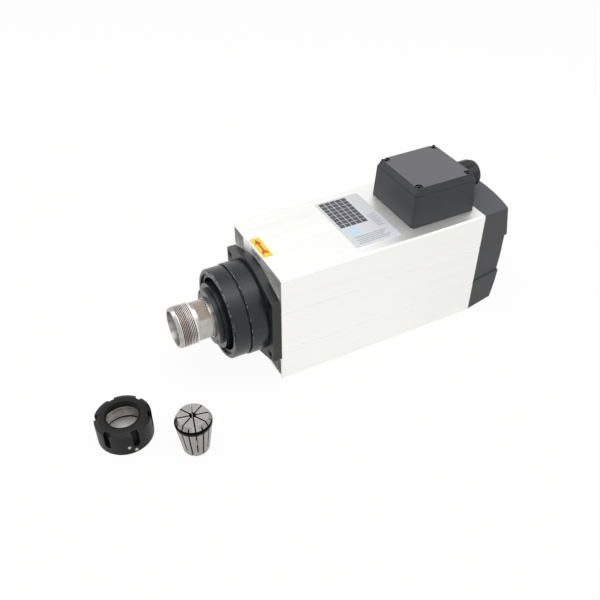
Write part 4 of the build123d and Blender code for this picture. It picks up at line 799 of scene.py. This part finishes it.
# Five long lines 2.6 mm apart and nine short ones 2.4 mm apart, with ends that step in and out.
lines = [
    rounded(24 + 2.6 * i, 24.9 + 2.6 * i, -22 + 2 * (i % 2), 14 - 3 * (i % 3), INK_CORNER, INK_STEPS)
    for i in range(5)
]
lines += [
    rounded(-3 + 2.4 * i, -2.3 + 2.4 * i, 9, 18 - 2 * (i % 2), INK_CORNER, INK_STEPS) for i in range(9)
]
piece("plate_lines", *slabs(lines, plate_top, ink_top), LINE_INK, "motor")

piece("arrow_label", *slab(rounded(*LABEL, LABEL_CORNER), TOP_Z, plate_top), YELLOW, "motor")
piece("turning_arrow", *slab(ARROW, plate_top, ink_top), RED, "motor")

# ------------------------------------------------------------------ floor, world and lights
FLOOR_HALF = 6             # metres
FLOOR_Z = -0.0002          # a hair under the parts' feet, metres
PAPER_SHOWN = 0.94         # share of plain white that the camera sees on the paper
PAPER_MIRRORED = 0.7       # and that reflections see
SHADED_R = 22              # round the loose nut's middle, mm
OPEN_REACH = 30            # how near what stands over the paper counts as cover, mm
OPEN_LOW, OPEN_HIGH = 0.38, 0.48           # open shares of the half sphere between which the glow comes back
SKY_MIRRORED = 0.78        # strength of the sky in reflections
SKY_LEAST = 0.45           # and where it only lights

floor_mesh = bpy.data.meshes.new("floor")
floor_corners = [(x * FLOOR_HALF, y * FLOOR_HALF, FLOOR_Z) for x, y in ((-1, -1), (1, -1), (1, 1), (-1, 1))]
floor_mesh.from_pydata(floor_corners, [], [(0, 1, 2, 3)])
floor = bpy.data.objects.new("floor", floor_mesh)
bpy.context.scene.collection.objects.link(floor)
floor_paint = bpy.data.materials.new("white_paper_sweep")
floor_paint.use_nodes = True
tree = floor_paint.node_tree
tree.nodes.clear()
seen = add(tree, "ShaderNodeLightPath")
paper = add(tree, "ShaderNodeBsdfDiffuse", {"Color": linear("#f3f1ed")})
glow = add(tree, "ShaderNodeEmission", {"Color": (1, 1, 1, 1), "Strength": 1.0})
mirrored = add(tree, "ShaderNodeMath", {0: (seen, "Is Glossy Ray"), 1: PAPER_MIRRORED}, operation="MULTIPLY")
straight = add(tree, "ShaderNodeMath", {0: (seen, "Is Camera Ray"), 1: PAPER_SHOWN}, operation="MULTIPLY")
shown = add(tree, "ShaderNodeMath", {0: (mirrored, "Value"), 1: (straight, "Value")}, operation="MAXIMUM")
# The paper inside the loose nut keeps its own deep shade while the nut stands there: the glow leaves what lies within
# SHADED_R of the nut's place and has less than OPEN_HIGH of the half sphere over it open.
ground = add(tree, "ShaderNodeTexCoord")
nut_place = (NUT[0] * MM, NUT[1] * MM, FLOOR_Z)
from_nut = add(tree, "ShaderNodeVectorMath", {0: (ground, "Object"), 1: nut_place}, operation="DISTANCE")
outside = add(tree, "ShaderNodeMath", {0: (from_nut, "Value"), 1: SHADED_R * MM}, operation="GREATER_THAN")
openness = add(tree, "ShaderNodeAmbientOcclusion", {"Distance": OPEN_REACH * MM}, samples=8)
uncovered = add(
    tree, "ShaderNodeMapRange",
    {"Value": (openness, "AO"), "From Min": OPEN_LOW, "From Max": OPEN_HIGH, "To Min": 0.0, "To Max": 1.0},
)
glow_share = add(tree, "ShaderNodeMath", {0: (outside, "Value"), 1: (uncovered, "Result")}, operation="MAXIMUM")
held_glow = add(tree, "ShaderNodeMath", {0: (shown, "Value"), 1: (glow_share, "Value")}, operation="MULTIPLY")
both = add(tree, "ShaderNodeMixShader", {0: (held_glow, "Value"), 1: (paper, "BSDF"), 2: (glow, "Emission")})
add(tree, "ShaderNodeOutputMaterial", {"Surface": (both, "Shader")})
floor_mesh.materials.append(floor_paint)

world = bpy.data.worlds.new("studio")
bpy.context.scene.world = world
world.use_nodes = True
tree = world.node_tree
tree.nodes.clear()
seen = add(tree, "ShaderNodeLightPath")
shown = add(
    tree, "ShaderNodeMath", {0: (seen, "Is Camera Ray"), 1: (seen, "Is Transmission Ray")}, operation="MAXIMUM",
)
mirrored = add(tree, "ShaderNodeMath", {0: (seen, "Is Glossy Ray"), 1: SKY_MIRRORED}, operation="MULTIPLY")
bright = add(tree, "ShaderNodeMath", {0: (shown, "Value"), 1: (mirrored, "Value")}, operation="MAXIMUM")
level = add(tree, "ShaderNodeMapRange", {"Value": (bright, "Value"), "To Min": SKY_LEAST, "To Max": 1.0})
sky = add(tree, "ShaderNodeBackground", {"Color": (1, 1, 1, 1), "Strength": (level, "Result")})
add(tree, "ShaderNodeOutputWorld", {"Surface": (sky, "Background")})


def softbox(name, at, target, size, watts):
    """A square area lamp of a size in metres at a point, facing a target."""
    data = bpy.data.lights.new(name, "AREA")
    data.size = size
    data.energy = watts
    lamp = bpy.data.objects.new(name, data)
    lamp.location = at
    lamp.rotation_mode = "QUATERNION"
    lamp.rotation_quaternion = (Vector(at) - Vector(target)).to_track_quat("Z", "Y")
    bpy.context.scene.collection.objects.link(lamp)


MOTOR_MIDDLE = (0, 0, 0.06)
softbox("overhead", (0.05, -0.3, 1.6), MOTOR_MIDDLE, 1.4, 12.5)
softbox("front_left", (-0.9, -1.2, 0.8), (0, -0.1, 0.06), 0.9, 5)
softbox("right_fill", (1.5, -0.5, 0.7), MOTOR_MIDDLE, 1.2, 3)
softbox("high_rear", (0.55, 0.75, 1.3), MOTOR_MIDDLE, 1.4, 6)

bpy.context.scene.view_settings.view_transform = "Standard"
